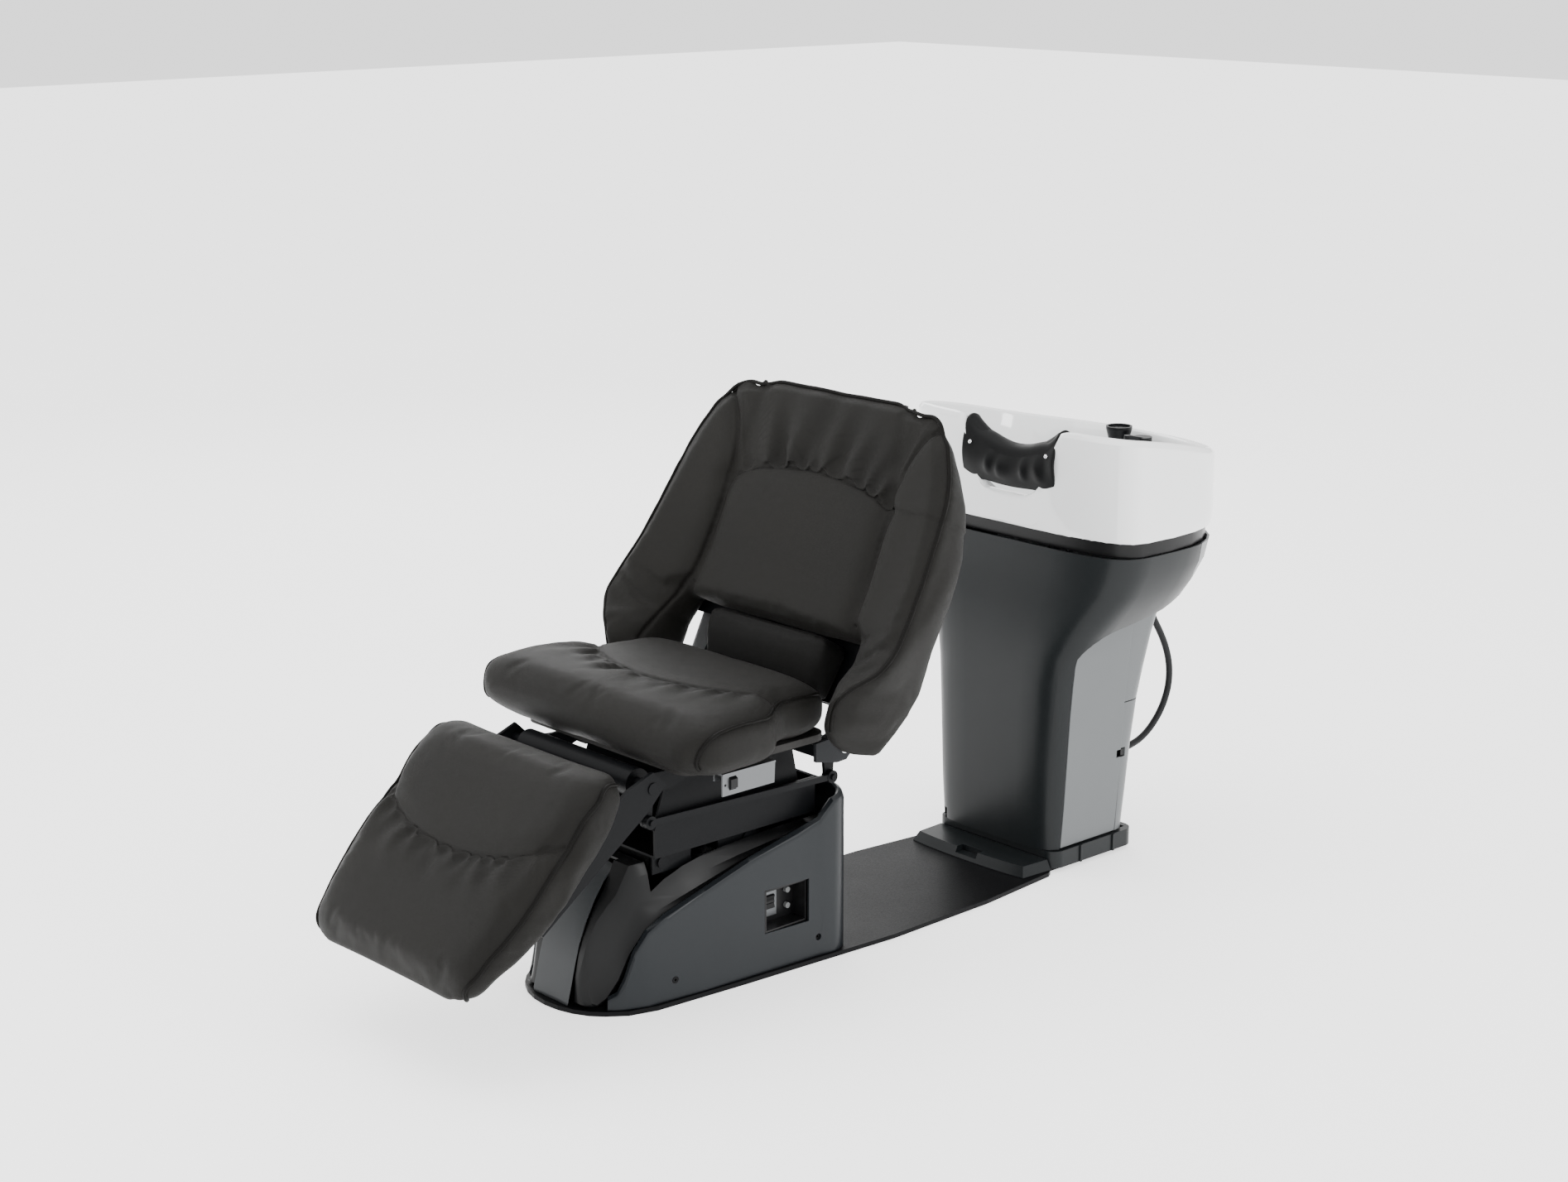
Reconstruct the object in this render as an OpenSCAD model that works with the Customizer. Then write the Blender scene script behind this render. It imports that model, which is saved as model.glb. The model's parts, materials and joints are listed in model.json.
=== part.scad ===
// Shampoo backwash unit: a reclining chair and a pedestal basin joined by one floor plate.
// +Z is up, -Y is the foot end, +Y is the basin end, +X is the side with the switches.
// The origin is on the floor, in the middle of the whole unit's box. All sizes are in mm.

/* [Floor plate and chair base] */
// Thickness of the floor plate
plate_t = 8; // [6:1:12]
// Greatest width of the floor plate
plate_w = 354; // [340:2:440]
// Forward reach of the floor plate's bowed front end
plate_front = 573; // [560:1:620]
// Wall of the moulded covers
cover_t = 4; // [3:0.5:5]
// Width of the chair base cover at its rear end
base_w = 328; // [316:2:336]
// Height of the base cover's rim at its rear end
base_rear_z = 292; // [270:1:300]
// Height of the inner cover under the seat frame
tray_z = 236; // [215:1:240]
// Radius of the four floor anchor holes
anchor_r = 6; // [5:0.5:8]
// Distance between the anchor holes across the unit
anchor_dx = 130; // [110:2:150]
// Distance between the anchor holes along the unit
anchor_dy = 300; // [240:5:300]

/* [Seat lift] */
// Length of a lift link between its pivots
link_len = 160; // [140:1:180]
// Angle of a lift link above the floor with the seat down
link_rise = 30; // [25:1:35]
// Distance between the front and rear links
link_gap = 185; // [170:1:200]
// Forward place of the front link's upper pivot
link_front = 400; // [395:1:410]
// Height of the links' upper pivots with the seat down
link_top_z = 230; // [228:1:236]
// Radius of the lift shafts
lift_r = 10; // [8:0.5:12]
// Running clearance of a shaft in its bore
run_fit = 0.05; // [0.02:0.01:0.1]
// Clearance of a pivot that only locates loosely
loose_fit = 0.5; // [0.3:0.1:0.8]

/* [Seat] */
// Height of the seat's top over the floor
seat_z = 517; // [500:1:540]
// Width of the seat in front of the back's wings
seat_w = 598; // [540:2:640]
// Width of the seat between the wings
seat_neck_w = 456; // [400:2:464]
// Thickness of the seat cushion
seat_t = 93; // [70:1:100]
// Forward reach of the seat cushion
seat_front = 500; // [470:1:502]
// Width across the outside of the seat frame channel
channel_w = 240; // [220:2:260]
// Thickness of the frame's steel plate
steel_t = 4; // [3:0.5:5]

/* [Back] */
// Forward place of the recline pivot
hinge_front = 95; // [90:1:100]
// Height of the recline pivot
hinge_z = 385; // [375:1:390]
// Lean of the back from upright at rest
back_tilt = 30; // [20:1:35]
// Length of the back from the recline pivot to its top edge
back_len = 578; // [480:1:580]
// Width across the back's wings
back_w = 722; // [680:2:760]
// Width of the back's centre panel between the wing seams
back_panel_w = 400; // [340:2:410]
// Radius of the recline shaft
recline_r = 9; // [8:0.5:11]
// Width of the rear shell
shell_w = 470; // [420:2:500]
// How far the rear shell stands behind the recline pivot
shell_depth = 92; // [70:1:95]

/* [Leg rest] */
// Forward place of the leg rest pivot
leg_front = 487; // [480:1:495]
// Height of the leg rest pivot
leg_z = 396; // [390:1:398]
// Angle of the leg rest below level at rest
leg_drop = 46; // [40:1:50]
// Length of the leg rest pad
leg_len = 430; // [350:2:440]
// Greatest width of the leg rest pad
leg_w = 482; // [400:2:520]
// Thickness of the leg rest pad
leg_t = 84; // [60:1:90]
// Length of the two levers that the link rod joins
lever_len = 58; // [50:1:62]
// Radius of the leg rest shaft
leg_r = 10; // [8:0.5:12]

/* [Pedestal and basin] */
// Width of the pedestal at its foot
foot_w = 300; // [280:2:304]
// Place of the pedestal's front face behind the origin
ped_front = 478; // [476:1:482]
// Width of the basin
basin_w = 570; // [520:2:600]
// Place of the basin's front face behind the origin
basin_front = 505; // [503:1:510]
// Length of the basin from front to rear
basin_len = 382; // [340:2:400]
// Height of the basin's visible lower edge
basin_z = 636; // [630:1:645]
// Height of the rim at the front crests
crest_z = 826; // [810:1:840]
// Height of the rim at the rear
rim_rear_z = 762; // [750:1:780]
// Height of the neck cut's lowest point
neck_z = 697; // [685:1:710]
// Half width of the neck cut at its bottom
neck_half = 60; // [50:1:70]
// Wall of the basin at its rim
basin_t = 22; // [16:1:26]
// Radius of the drain hole
drain_r = 24; // [20:1:28]
// Outer radius of the drain outlet pipe
outlet_r = 20; // [16:0.5:25]
// Diameter of the shower hose
hose_d = 13; // [10:1:15]

/* [Hidden] */
$fn = 48;

// Routes, outlines and derived places
link_out = link_len * cos(link_rise);
link_up = link_len * sin(link_rise);
low_z = link_top_z - link_up;
front_low_y = -link_front + link_out;
rear_low_y = front_low_y + link_gap;
upper_ys = [-link_front, -link_front + link_gap];
frame_z = link_top_z + 20;
frame_h = 62;
cushion_lo = seat_z - seat_t;
board_t = 12;
gap = 0.5;
ear_x = 196;
arm_x = 186;
lever_x = 160;
stud_x = 178;
hinge_y = -hinge_front;
rod_len = leg_front - hinge_front;
ped_side_y = ped_front + 32;
ped_rear = 708;
split_z = 298;
seam_y = 664;
shelf_z = 500;
collar_seam_y = 739;
basin_mid = basin_front + 140;
basin_rear = basin_front + basin_len;
drain_y = basin_front + 150;
deck_y = basin_front + 320;
deck_z = 706;
shower_x = -12;
mixer_x = 46;
hose_x = 95;
hose_points = [[95, 798, 480], [95, 798, 468], [95, 801, 452], [95, 809, 434], [95, 820, 415],
    [95, 833, 396], [95, 846, 375], [95, 857, 353], [95, 865, 330], [95, 869, 306], [95, 868, 281],
    [95, 861, 257], [95, 849, 235], [95, 832, 215], [95, 811, 198], [95, 787, 186], [95, 762, 180],
    [95, 742, 178], [95, 730, 178]];
hose_low = hose_points[len(hose_points) - 1];

// Signed power, for rounded outlines
function spow(v, e) = sign(v) * pow(abs(v), e);
// A rounded loop of n points inside the four corners q, square at e = 0 and an ellipse at e = 1
function quad_ring(q, e, n) = [for (i = [0:n - 1])
    let (a = 360 * (i + 0.5) / n, s = (spow(cos(a), e) + 1) / 2, t = (spow(sin(a), e) + 1) / 2)
    (1 - s) * (1 - t) * q[0] + s * (1 - t) * q[1] + s * t * q[2] + (1 - s) * t * q[3]];
// How far a rounded end of radius r pulls in at a distance d from the end
function pull(d, r) = d >= r ? 0 : r - sqrt(max(0, r * r - (r - d) * (r - d)));
// Stations from a to b, closer together over the rounded ends of radius r
function stations(a, b, r, n) = concat(
    [for (k = [0:3]) a + r * (1 - cos(22.5 * k + 5))],
    [for (k = [0:n]) a + r + (b - a - 2 * r) * k / n],
    [for (k = [3:-1:0]) b - r * (1 - cos(22.5 * k + 5))]);
function smooth(v, a, b) = let (t = max(0, min(1, (v - a) / (b - a)))) t * t * (3 - 2 * t);
function sum_mid(r) = let (n = len(r)) [for (k = [0:2]) [for (p = r) p[k]] * [for (p = r) 1] / n];

// A closed solid through rings of equal length, joined end to end when it loops. Its ends are
// fans round the middle, or strips when each ring is a sheet's outside and then its inside, back.
module loft(rings, looped = false, sheet = false) {
    m = len(rings);
    n = len(rings[0]);
    far = (m - 1) * n;
    pts = concat([for (r = rings) each r],
        looped || sheet ? [] : [sum_mid(rings[0]), sum_mid(rings[m - 1])]);
    sides = [for (i = [0:looped ? m - 1 : m - 2]) for (j = [0:n - 1])
        let (a = i * n + j, b = i * n + (j + 1) % n, c = ((i + 1) % m) * n + (j + 1) % n,
            d = ((i + 1) % m) * n + j) each [[a, d, c], [a, c, b]]];
    fans = [for (j = [0:n - 1]) let (k = (j + 1) % n)
        each [[m * n, j, k], [m * n + 1, far + k, far + j]]];
    strips = [for (j = [0:n / 2 - 2]) let (k = n - 2 - j) each [[j, j + 1, k], [j, k, k + 1],
        [far + j + 1, far + j, far + k], [far + j, far + k + 1, far + k]]];
    polyhedron(points = pts, faces = concat(sides, looped ? [] : sheet ? strips : fans),
        convexity = 6);
}

// A pad along Z whose half width and faces follow the tables
module pad(a, b, r, w_tab, lo_tab, hi_tab, e = 0.35, n = 28, steps = 8) {
    loft([for (s = stations(a, b, r, steps)) let (p = pull(min(s - a, b - s), r),
        w = lookup(s, w_tab) - p, lo = lookup(s, lo_tab) + 0.7 * p, hi = lookup(s, hi_tab) - 0.7 * p)
        [for (q = quad_ring([[-w, lo], [w, lo], [w, hi], [-w, hi]], e, n)) [q[0], q[1], s]]]);
}

module forward() { rotate([90, 0, 0]) children(); }
module at_back() { translate([0, hinge_y, hinge_z]) rotate([-back_tilt, 0, 0]) children(); }
module at_leg() { translate([0, -leg_front, leg_z]) rotate([90 + leg_drop, 0, 0]) children(); }
module both() { children(); mirror([1, 0, 0]) children(); }
// A round bar along X from x0 to x1
module bar(x0, x1, r) { translate([x0, 0, 0]) rotate([0, 90, 0]) cylinder(h = x1 - x0, r = r); }
// A plate standing across X, its outline given as Y and Z
module cheek(x0, x1, pts) {
    translate([x0, 0, 0]) rotate([90, 0, 90]) linear_extrude(x1 - x0) polygon(pts);
}
module slab(x0, x1, y0, y1, z0, z1) { translate([x0, y0, z0]) cube([x1 - x0, y1 - y0, z1 - z0]); }
module rounded_slab(x0, x1, y0, y1, z0, z1, r) {
    translate([0, 0, z0]) linear_extrude(z1 - z0) union() {
        translate([x0 + r, y0]) square([x1 - x0 - 2 * r, y1 - y0]);
        translate([x0, y0 + r]) square([x1 - x0, y1 - y0 - 2 * r]);
        for (x = [x0 + r, x1 - r]) for (y = [y0 + r, y1 - r]) translate([x, y]) circle(r);
    }
}

// ---- Floor plate and chair base ----
// Half width of the floor plate along Y
plate_tab = [[-530, 105], [-500, 128], [-450, 143], [-275, 157], [52, plate_w / 2],
    [293, plate_w / 2 - 6], [475, plate_w / 2 - 25]];
// Half width of the base cover along Y
cover_tab = [[-548, 78], [-535, 94], [-505, 120], [-460, 136], [-350, 147], [-275, 151],
    [-150, 158], [-40, base_w / 2]];
// Height of the side cover's rim along Y
rim_tab = [[-548, 12], [-520, 24], [-505, 48], [-485, 104], [-462, 138], [-425, 158], [-350, 184],
    [-258, 214], [-155, 240], [-75, 262], [-20, base_rear_z]];
cover_rear = -28;
rear_r = 52;

module plate_outline() {
    ys = [-530, -500, -450, -275, 52, 293, 475];
    bow = [for (a = [-60:15:60]) [105 * sin(a) / sin(60), -plate_front + 43 * (1 - cos(a)) / (1 - cos(60))]];
    right = [for (y = ys) if (y > -530) [lookup(y, plate_tab), y]];
    polygon(concat(bow, right, [[146, 486], [134, 486], [134, 714], [-134, 714], [-134, 486],
        [-146, 486]], [for (i = [len(right) - 1:-1:0]) [-right[i][0], right[i][1]]]));
}

module base_plate() color("#15171a") difference() {
    linear_extrude(plate_t) plate_outline();
    for (x = [-1, 1] * anchor_dx / 2) for (y = [-1, 1] * anchor_dy / 2)
        translate([x, y - 190, -1]) cylinder(h = plate_t + 2, r = anchor_r);
    slab(-70, 70, 560, 720, -1, plate_t + 1);
}

module base_frame() color("#202226") difference() {
    union() {
        both() slab(88, 92, front_low_y - 70, rear_low_y + 32, plate_t, 182);
        both() slab(92, 110, front_low_y - 70, rear_low_y + 32, plate_t, plate_t + 5);
        slab(-88, 88, front_low_y - 66, front_low_y - 60, plate_t, 120);
        slab(-88, 88, rear_low_y + 26, rear_low_y + 30, plate_t, 150);
    }
    for (y = [front_low_y, rear_low_y]) translate([0, y, low_z]) bar(-120, 120, lift_r + run_fit);
    for (x = [-1, 1] * anchor_dx / 2) for (y = [-1, 1] * anchor_dy / 2)
        translate([x, y - 190, 0]) cylinder(h = 40, r = 14);
}

// The cover's outline from the front left round the rear to the front right, as [x, y, rim z]
function cover_path() = let (
    side = [for (y = [-524, -512, -500, -485, -462, -425, -350, -258, -155, -cover_rear - 136])
        [lookup(y, cover_tab), y, max(plate_t + gap + 20, lookup(y, rim_tab))]],
    hw = base_w / 2,
    corner = [for (a = [0:15:90]) [hw - rear_r + rear_r * cos(a), cover_rear - rear_r + rear_r * sin(a),
        base_rear_z - 10 * cos(a)]])
    concat(side, corner);
function mirrored(p) = [for (i = [len(p) - 1:-1:0]) [-p[i][0], p[i][1], p[i][2]]];

module base_side_cover() color("#272b30") {
    path = concat(cover_path(), mirrored(cover_path()));
    n = len(path);
    dirs = [for (i = [0:n - 1]) let (a = path[max(0, i - 1)], b = path[min(n - 1, i + 1)],
        d = [b[1] - a[1], a[0] - b[0]]) d / norm(d)];
    difference() {
        loft([for (i = [n - 1:-1:0]) let (p = [path[i][0], path[i][1]], o = dirs[i], z = path[i][2],
            z0 = plate_t + gap) [for (v = [[0, z0], [0, z - 12], [-3, z - 4], [-10, z],
            [-10 - cover_t, z - 2], [-cover_t - 3, z - 12], [-cover_t, z - 18], [-cover_t, z0]])
            [p[0] + o[0] * v[0], p[1] + o[1] * v[0], v[1]]]], sheet = true);
        slab(100, 200, -228, -133, 76, 152);
        for (y = [-412, -112]) translate([100, y, 42]) rotate([0, 90, 0]) cylinder(h = 80, r = 6);
        mirror([1, 0, 0]) for (y = [-412, -112])
            translate([100, y, 42]) rotate([0, 90, 0]) cylinder(h = 80, r = 6);
    }
}

// Height of the inner cover's nose along Y, just under the front panel
nose_tab = [[-549, 12], [-546, 56], [-538, 92], [-525, 128], [-505, 164], [-485, 190], [-462, tray_z]];
// How far the inner cover's edge lies inside the side cover along Y
tuck_tab = [[-546, 2], [-538, 6], [-530, 14], [-515, 21], [-500, 20], [-485, 16]];
// Height of the inner cover: level under the seat frame, falling to the rim and to the nose
function tray_top(x, y, w) = let (rim = lookup(y, rim_tab) - 8,
    mid = min(tray_z, lookup(y, nose_tab)),
    f = smooth(abs(x), w * 0.72, w))
    max(plate_t + gap + cover_t + 1, mid * (1 - f) + rim * f - 9 * sin(180 * f));

module base_inner_cover() color("#0d0e10") {
    ys = [-549, -546, -538, -530, -515, -500, -485, -462, -430, -380, -320, -258, -200, -155, -110, -75, -52];
    fx = [-1, -0.93, -0.86, -0.79, -0.72, -0.4, 0, 0.4, 0.72, 0.79, 0.86, 0.93, 1];
    difference() {
        loft([for (i = [0:len(ys) - 1]) let (y = ys[i], w = lookup(y, cover_tab) - lookup(y, tuck_tab))
            concat([for (f = fx) [f * w, y, tray_top(f * w, y, w)]],
                [for (k = [len(fx) - 1:-1:0]) let (f = fx[k]) [f * w * 0.985, y + (y < -480 ? cover_t : 0),
                    tray_top(f * w, y, w) - (y < -530 ? 1 : cover_t)]])], sheet = true);
        slab(-104, 104, -432, -60, 100, 400);
        slab(-48, 48, -600, -452, 0, 400);
    }
}

module base_front_panel() color("#55595d") {
    ys = [-560, -553, -545, -535, -520, -500, -480, -457];
    zs = [plate_t + 6, 40, 72, 108, 145, 182, 210, 226];
    loft([for (i = [0:7]) let (y = ys[i], z = zs[i]) [for (v = [[-46, 0], [-23, 3], [23, 3], [46, 0],
        [45, -6], [-45, -6]]) [v[0], y, z + v[1]]]]);
}

module cover_screws() color("#101214") both() for (y = [-412, -112])
    translate([base_w / 2 - (y < -300 ? 32 : 16), y, 42]) rotate([0, 90, 0]) difference() {
        cylinder(h = 9, r = 5.6);
        translate([0, 0, 6.5]) cylinder(h = 4, r = 2.5, $fn = 6);
    }

module switch_recess() color("#8d9195") difference() {
    slab(118, 153, -227, -134, 77, 151);
    slab(121, 154, -224, -137, 80, 148);
    for (z = [100, 128]) translate([115, -152, z]) bar(0, 10, 5.4);
    slab(110, 130, -208, -180, 101, 129);
}
module main_switch() color("#17181a") translate([0, -181, 0]) rotate([90, 0, 0]) union() {
    linear_extrude(26) polygon([[117, 102.5], [124, 102.5], [126.5, 104], [123.5, 115], [126.5, 126],
        [124, 127.5], [117, 127.5]]);
    translate([119.5, 115, 0]) cylinder(h = 26, r = 6);
}
module reset_button(z) color("#b9bbbc") translate([116, -152, z]) {
    bar(0, 11, 5);
    bar(-3, -0, 6.5);
}
module reset_button_upper() reset_button(128);
module reset_button_lower() reset_button(100);

module lift_gearbox() color("#3a3d42") difference() {
    union() {
        rounded_slab(-62, 62, front_low_y - 42, front_low_y + 42, 40, 188, 8);
        translate([0, front_low_y + 42, 90]) rotate([-90, 0, 0]) cylinder(h = 60, r = 32);
    }
    translate([0, front_low_y, low_z]) bar(-70, 70, lift_r + run_fit);
}
module control_box() color("#2b2d30") rounded_slab(-70, 70, -450, -362, plate_t + gap, 110, 6);

// One lift link pair on its shaft line, from [y, z] of the low pivot to the high one
module link_pair(y, top_fit) difference() {
    both() hull() for (p = [[y, low_z], [y - link_out, link_top_z]])
        translate([0, p[0], p[1]]) bar(74, 80, 17, $fn = 32);
    translate([0, y, low_z]) bar(-90, 90, lift_r);
    translate([0, y - link_out, link_top_z]) bar(-90, 90, lift_r + top_fit);
}
module front_links() color("#2a2c30") link_pair(front_low_y, run_fit);
module rear_links() color("#2a2c30") link_pair(rear_low_y, loose_fit);
module front_lift_shaft() color("#a8abae") translate([0, front_low_y, low_z]) bar(-98, 98, lift_r);
module rear_lift_shaft() color("#a8abae") translate([0, rear_low_y, low_z]) bar(-98, 98, lift_r);

// ---- Seat ----
module seat_frame() color("#1b1d20") {
    front_y = -link_front - 35;
    end_y = -84;
    hw = channel_w / 2;
    riser = [[-425, frame_z + 40], [-385, cushion_lo - board_t - gap - 4],
        [-130, cushion_lo - board_t - gap - 4], [-105, frame_z + 40]];
    difference() {
        union() {
            slab(-hw, hw, front_y, end_y, frame_z, frame_z + steel_t);
            both() cheek(hw - steel_t, hw, [[front_y, frame_z], [end_y, frame_z],
                [end_y, frame_z + frame_h], [front_y + 14, frame_z + frame_h],
                [front_y + 4, frame_z + frame_h - 4], [front_y, frame_z + frame_h - 14]]);
            both() slab(90, 94, -link_front - 20, upper_ys[1] + 20, link_top_z - 18, frame_z + 2);
            slab(-hw, hw, end_y - steel_t, end_y, frame_z, frame_z + 40);
            both() cheek(100, 104, riser);
            both() slab(100, hw, -420, -110, frame_z + 44, frame_z + 48);
            for (y = [-380, -160]) slab(-104, 104, y, y + 20,
                cushion_lo - board_t - gap - 8, cushion_lo - board_t - gap);
            slab(-ear_x, ear_x, -152, -124, 378, 398);
            slab(-104, 104, -152, -124, 360, 398);
            both() cheek(134, 142, [[-leg_front, leg_z - 26], [-420, 372], [-380, 385], [-380, 404],
                [-440, 404], [-leg_front, leg_z + 12]]);
            both() slab(100, 142, -400, -380, 385, 404);
        }
        translate([0, -leg_front, leg_z]) bar(-150, 150, 24);
        for (y = upper_ys) translate([0, y, link_top_z]) bar(-100, 100, lift_r);
        for (y = upper_ys) both() translate([0, y + 92, link_top_z]) bar(80, 100, 30);
    }
}
module upper_link_pins() color("#a8abae") for (y = upper_ys)
    translate([0, y, link_top_z]) bar(-98, 98, lift_r);
module seat_board() color("#8a6a45")
    rounded_slab(-212, 212, -444, -138, cushion_lo - board_t - gap, cushion_lo - gap, 30);

module seat_cushion() color("#2e2d29") {
    rear = 128;
    neck = 255;
    pad_w = [[rear, seat_neck_w / 2 - 8], [neck - 60, seat_neck_w / 2], [neck, seat_neck_w / 2 + 3],
        [neck + 70, seat_w / 2 - 7], [391, seat_w / 2], [445, seat_w / 2], [seat_front, seat_w / 2 - 16]];
    forward() pad(rear, seat_front, 44, pad_w,
        [[rear, cushion_lo + 8], [200, cushion_lo], [430, cushion_lo], [seat_front, cushion_lo + 10]],
        [[rear, seat_z - 12], [neck, seat_z - 4], [391, seat_z + 3], [450, seat_z],
            [seat_front, seat_z - 10]], steps = 12);
}

module switch_panel() color("#9a9da0") difference() {
    union() {
        slab(190, 236, -390, -278, cushion_lo - board_t - gap - 3.5, cushion_lo - board_t - gap - 0.5);
        cheek(232, 235, [[-390, 374], [-280, 374], [-278, 411], [-390, 411]]);
        slab(213, 216, -390, -278, 395, 409);
    }
    slab(225, 240, -376, -361, 382, 404);
    translate([228, -384, 392]) bar(0, 10, 2.2);
}
module seat_switch() color("#1a1b1d") {
    translate([232, -368.5, 393]) intersection() {
        rotate([90, 0, 0]) cylinder(h = 14, r = 10.4, center = true);
        slab(-6, 7.5, -8, 8, -11, 11);
    }
}
module leg_pivot_tube() color("#17191c") difference() {
    translate([0, -leg_front, leg_z]) bar(-142, 142, 24);
    translate([0, -leg_front, leg_z]) bar(-150, 150, leg_r + run_fit);
}
module hinge_brackets() color("#a5a8ab") difference() {
    both() cheek(ear_x, ear_x + 6, [[-158, 372], [-110, 362], [hinge_y + 6, hinge_z - 22],
        [hinge_y + 22, hinge_z - 6], [hinge_y + 22, hinge_z + 8], [hinge_y + 6, hinge_z + 22],
        [-110, hinge_z + 22], [-158, 404]]);
    translate([0, hinge_y, hinge_z]) bar(-220, 220, recline_r);
}
module recline_gearbox() color("#3a3d42") difference() {
    union() {
        rounded_slab(-182, -128, hinge_y - 26, hinge_y + 40, 350, 418, 6);
        translate([-155, hinge_y + 5, 352]) rotate([180, 0, 0]) cylinder(h = 55, r = 24);
    }
    translate([0, hinge_y, hinge_z]) bar(-190, -120, recline_r + run_fit);
}
module recline_shaft() color("#a8abae") translate([0, hinge_y, hinge_z]) bar(-206, 206, recline_r);

// ---- Back, drawn from the recline pivot: Z runs up the back, -Y towards the sitter ----
panel_half = back_panel_w / 2;
wing_half = back_w / 2;
// A height up the back, stretched above the lumbar line when the back is longer or shorter
function up(u) = u < 176 ? u : 176 + (u - 176) * (back_len - 188) / 390;
function taller(t) = [for (r = t) [up(r[0]), r[1]]];
// Half width of the wings' front piping up the back
pipe_x = taller([[-18, wing_half - 81], [0, wing_half - 78], [35, wing_half - 75], [74, wing_half - 45],
    [100, wing_half - 17], [125, wing_half - 2], [176, wing_half], [257, wing_half - 7],
    [334, wing_half - 14], [438, wing_half - 32], [491, wing_half - 51], [533, wing_half - 80],
    [566, wing_half - 121]]);
rear_x = taller([[-18, wing_half - 76], [0, wing_half - 61], [50, wing_half - 36], [100, wing_half - 21],
    [334, wing_half - 26], [438, wing_half - 46], [533, wing_half - 96], [566, wing_half - 132]]);
pipe_y = taller([[-18, 92], [0, 138], [23, 166], [50, 172], [74, 170], [100, 165], [125, 152], [176, 139],
    [257, 125], [334, 120], [438, 120], [491, 123], [533, 128], [566, 131]]);
rear_y = taller([[-18, 52], [0, 6], [61, 6], [165, 13], [273, 21], [355, 33], [420, 54], [462, 73],
    [531, 105], [566, 120]]);
seam_x = taller([[-18, 262], [0, 250], [60, 242], [140, 240], [178, panel_half + 3], [380, panel_half],
    [450, panel_half - 10], [566, panel_half - 25]]);
seam_yy = taller([[-18, 84], [0, 108], [60, 118], [95, 114], [140, 92], [250, 90], [380, 104], [450, 112],
    [533, 120], [566, 126]]);

// A bent plate that follows the rear of the cushion, from a to b up the back
function back_line(a, b, d, t) = let (us = [a, for (r = rear_y) if (r[0] > a && r[0] < b) r[0], b]) concat(
    [for (u = us) [d - lookup(u, rear_y), u]],
    [for (i = [len(us) - 1:-1:0]) [d + t - lookup(us[i], rear_y), us[i]]]);
module back_frame() color("#26282c") difference() {
    union() {
        lever(hinge_y, hinge_z);
        at_back() {
            both() cheek(arm_x, arm_x + 6, [[-18, -16], [16, -18], [26, 20], [14, 190], [-8, 190],
                [-10, 60], [-18, 24]]);
            bar(lever_x - 0.5, arm_x + 3, 15);
            cheek(-arm_x, arm_x, back_line(62, up(500), 2 * gap, steel_t));
            cheek(-290, 290, back_line(150, up(330), 2 * gap + 1, steel_t - 2));
        }
    }
    translate([0, hinge_y, hinge_z]) bar(-220, 220, recline_r + run_fit);
}
// Lever that the link rod hangs on, with its stud
module lever(y, z) {
    cheek(lever_x, lever_x + 6, [[y - 14, z], [y + 14, z], [y + 9, z - lever_len],
        [y - 9, z - lever_len]]);
    translate([0, y, z - lever_len]) bar(lever_x + 1, stud_x + 2, 5);
    translate([0, y, z - lever_len]) bar(lever_x - 0.5, lever_x + 6.5, 11);
}
module back_cushion() color("#2e2d29") at_back() loft([for (u = stations(161, back_len - 4, 23, 10))
    let (p = pull(min(u - 161, back_len - 4 - u), 23), w = lookup(u, seam_x) - gap - 0.6 * p,
        front = -lookup(u, seam_yy) + p * 0.5,
        rear = max(-lookup(u, rear_y) - 4 - p * 0.3, front + 12))
    [for (q = quad_ring([[-w, front], [w, front], [w, rear], [-w, rear]], 0.32, 30)) [q[0], q[1], u]]]);

module wing() at_back() loft([for (u = stations(-18, back_len - 12, 20, 14))
    let (p = pull(min(u + 18, back_len - 12 - u), 20), xo = lookup(u, pipe_x) - p,
        xr = lookup(u, rear_x) - p, xi = lookup(u, seam_x) + p * 0.3,
        fo = -lookup(u, pipe_y) + p * 0.4, fi = -lookup(u, seam_yy) + p * 0.4,
        r = max(-lookup(u, rear_y) - p * 0.4, fo + 1))
    [for (q = quad_ring([[xi, fi], [xo, fo], [xr, r], [xi, r - 2]], 0.24, 24)) [q[0], q[1], u]]]);
module back_wing_right() color("#2e2d29") wing();
module back_wing_left() color("#2e2d29") mirror([1, 0, 0]) wing();

module back_lower_cover() color("#1d1d1c") at_back() loft([for (u = [12, 20, 40, 52, 66, 90, 120, 148, 157])
    let (f = -lookup(u, [[12, 22], [20, 28], [60, 46], [120, 72], [157, 80]]),
        w = lookup(u, [[12, 114], [20, 122], [52, 122], [66, 146], [120, 150], [148, 150], [157, 142]]))
    [for (q = quad_ring([[-w, f], [w, f], [w, -13], [-w, -13]], 0.2, 20)) [q[0], q[1], u]]]);

// How much of its full depth the rear shell has, up the back
shell_tab = taller([[64, 0.4], [70, 0.62], [84, 0.82], [110, 0.95], [160, 1], [240, 1], [320, 0.96],
    [400, 0.8], [450, 0.56], [490, 0.24]]);
shell_us = [for (u = [64, 70, 84, 110, 160, 240, 320, 400, 450, 490]) up(u)];
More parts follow.
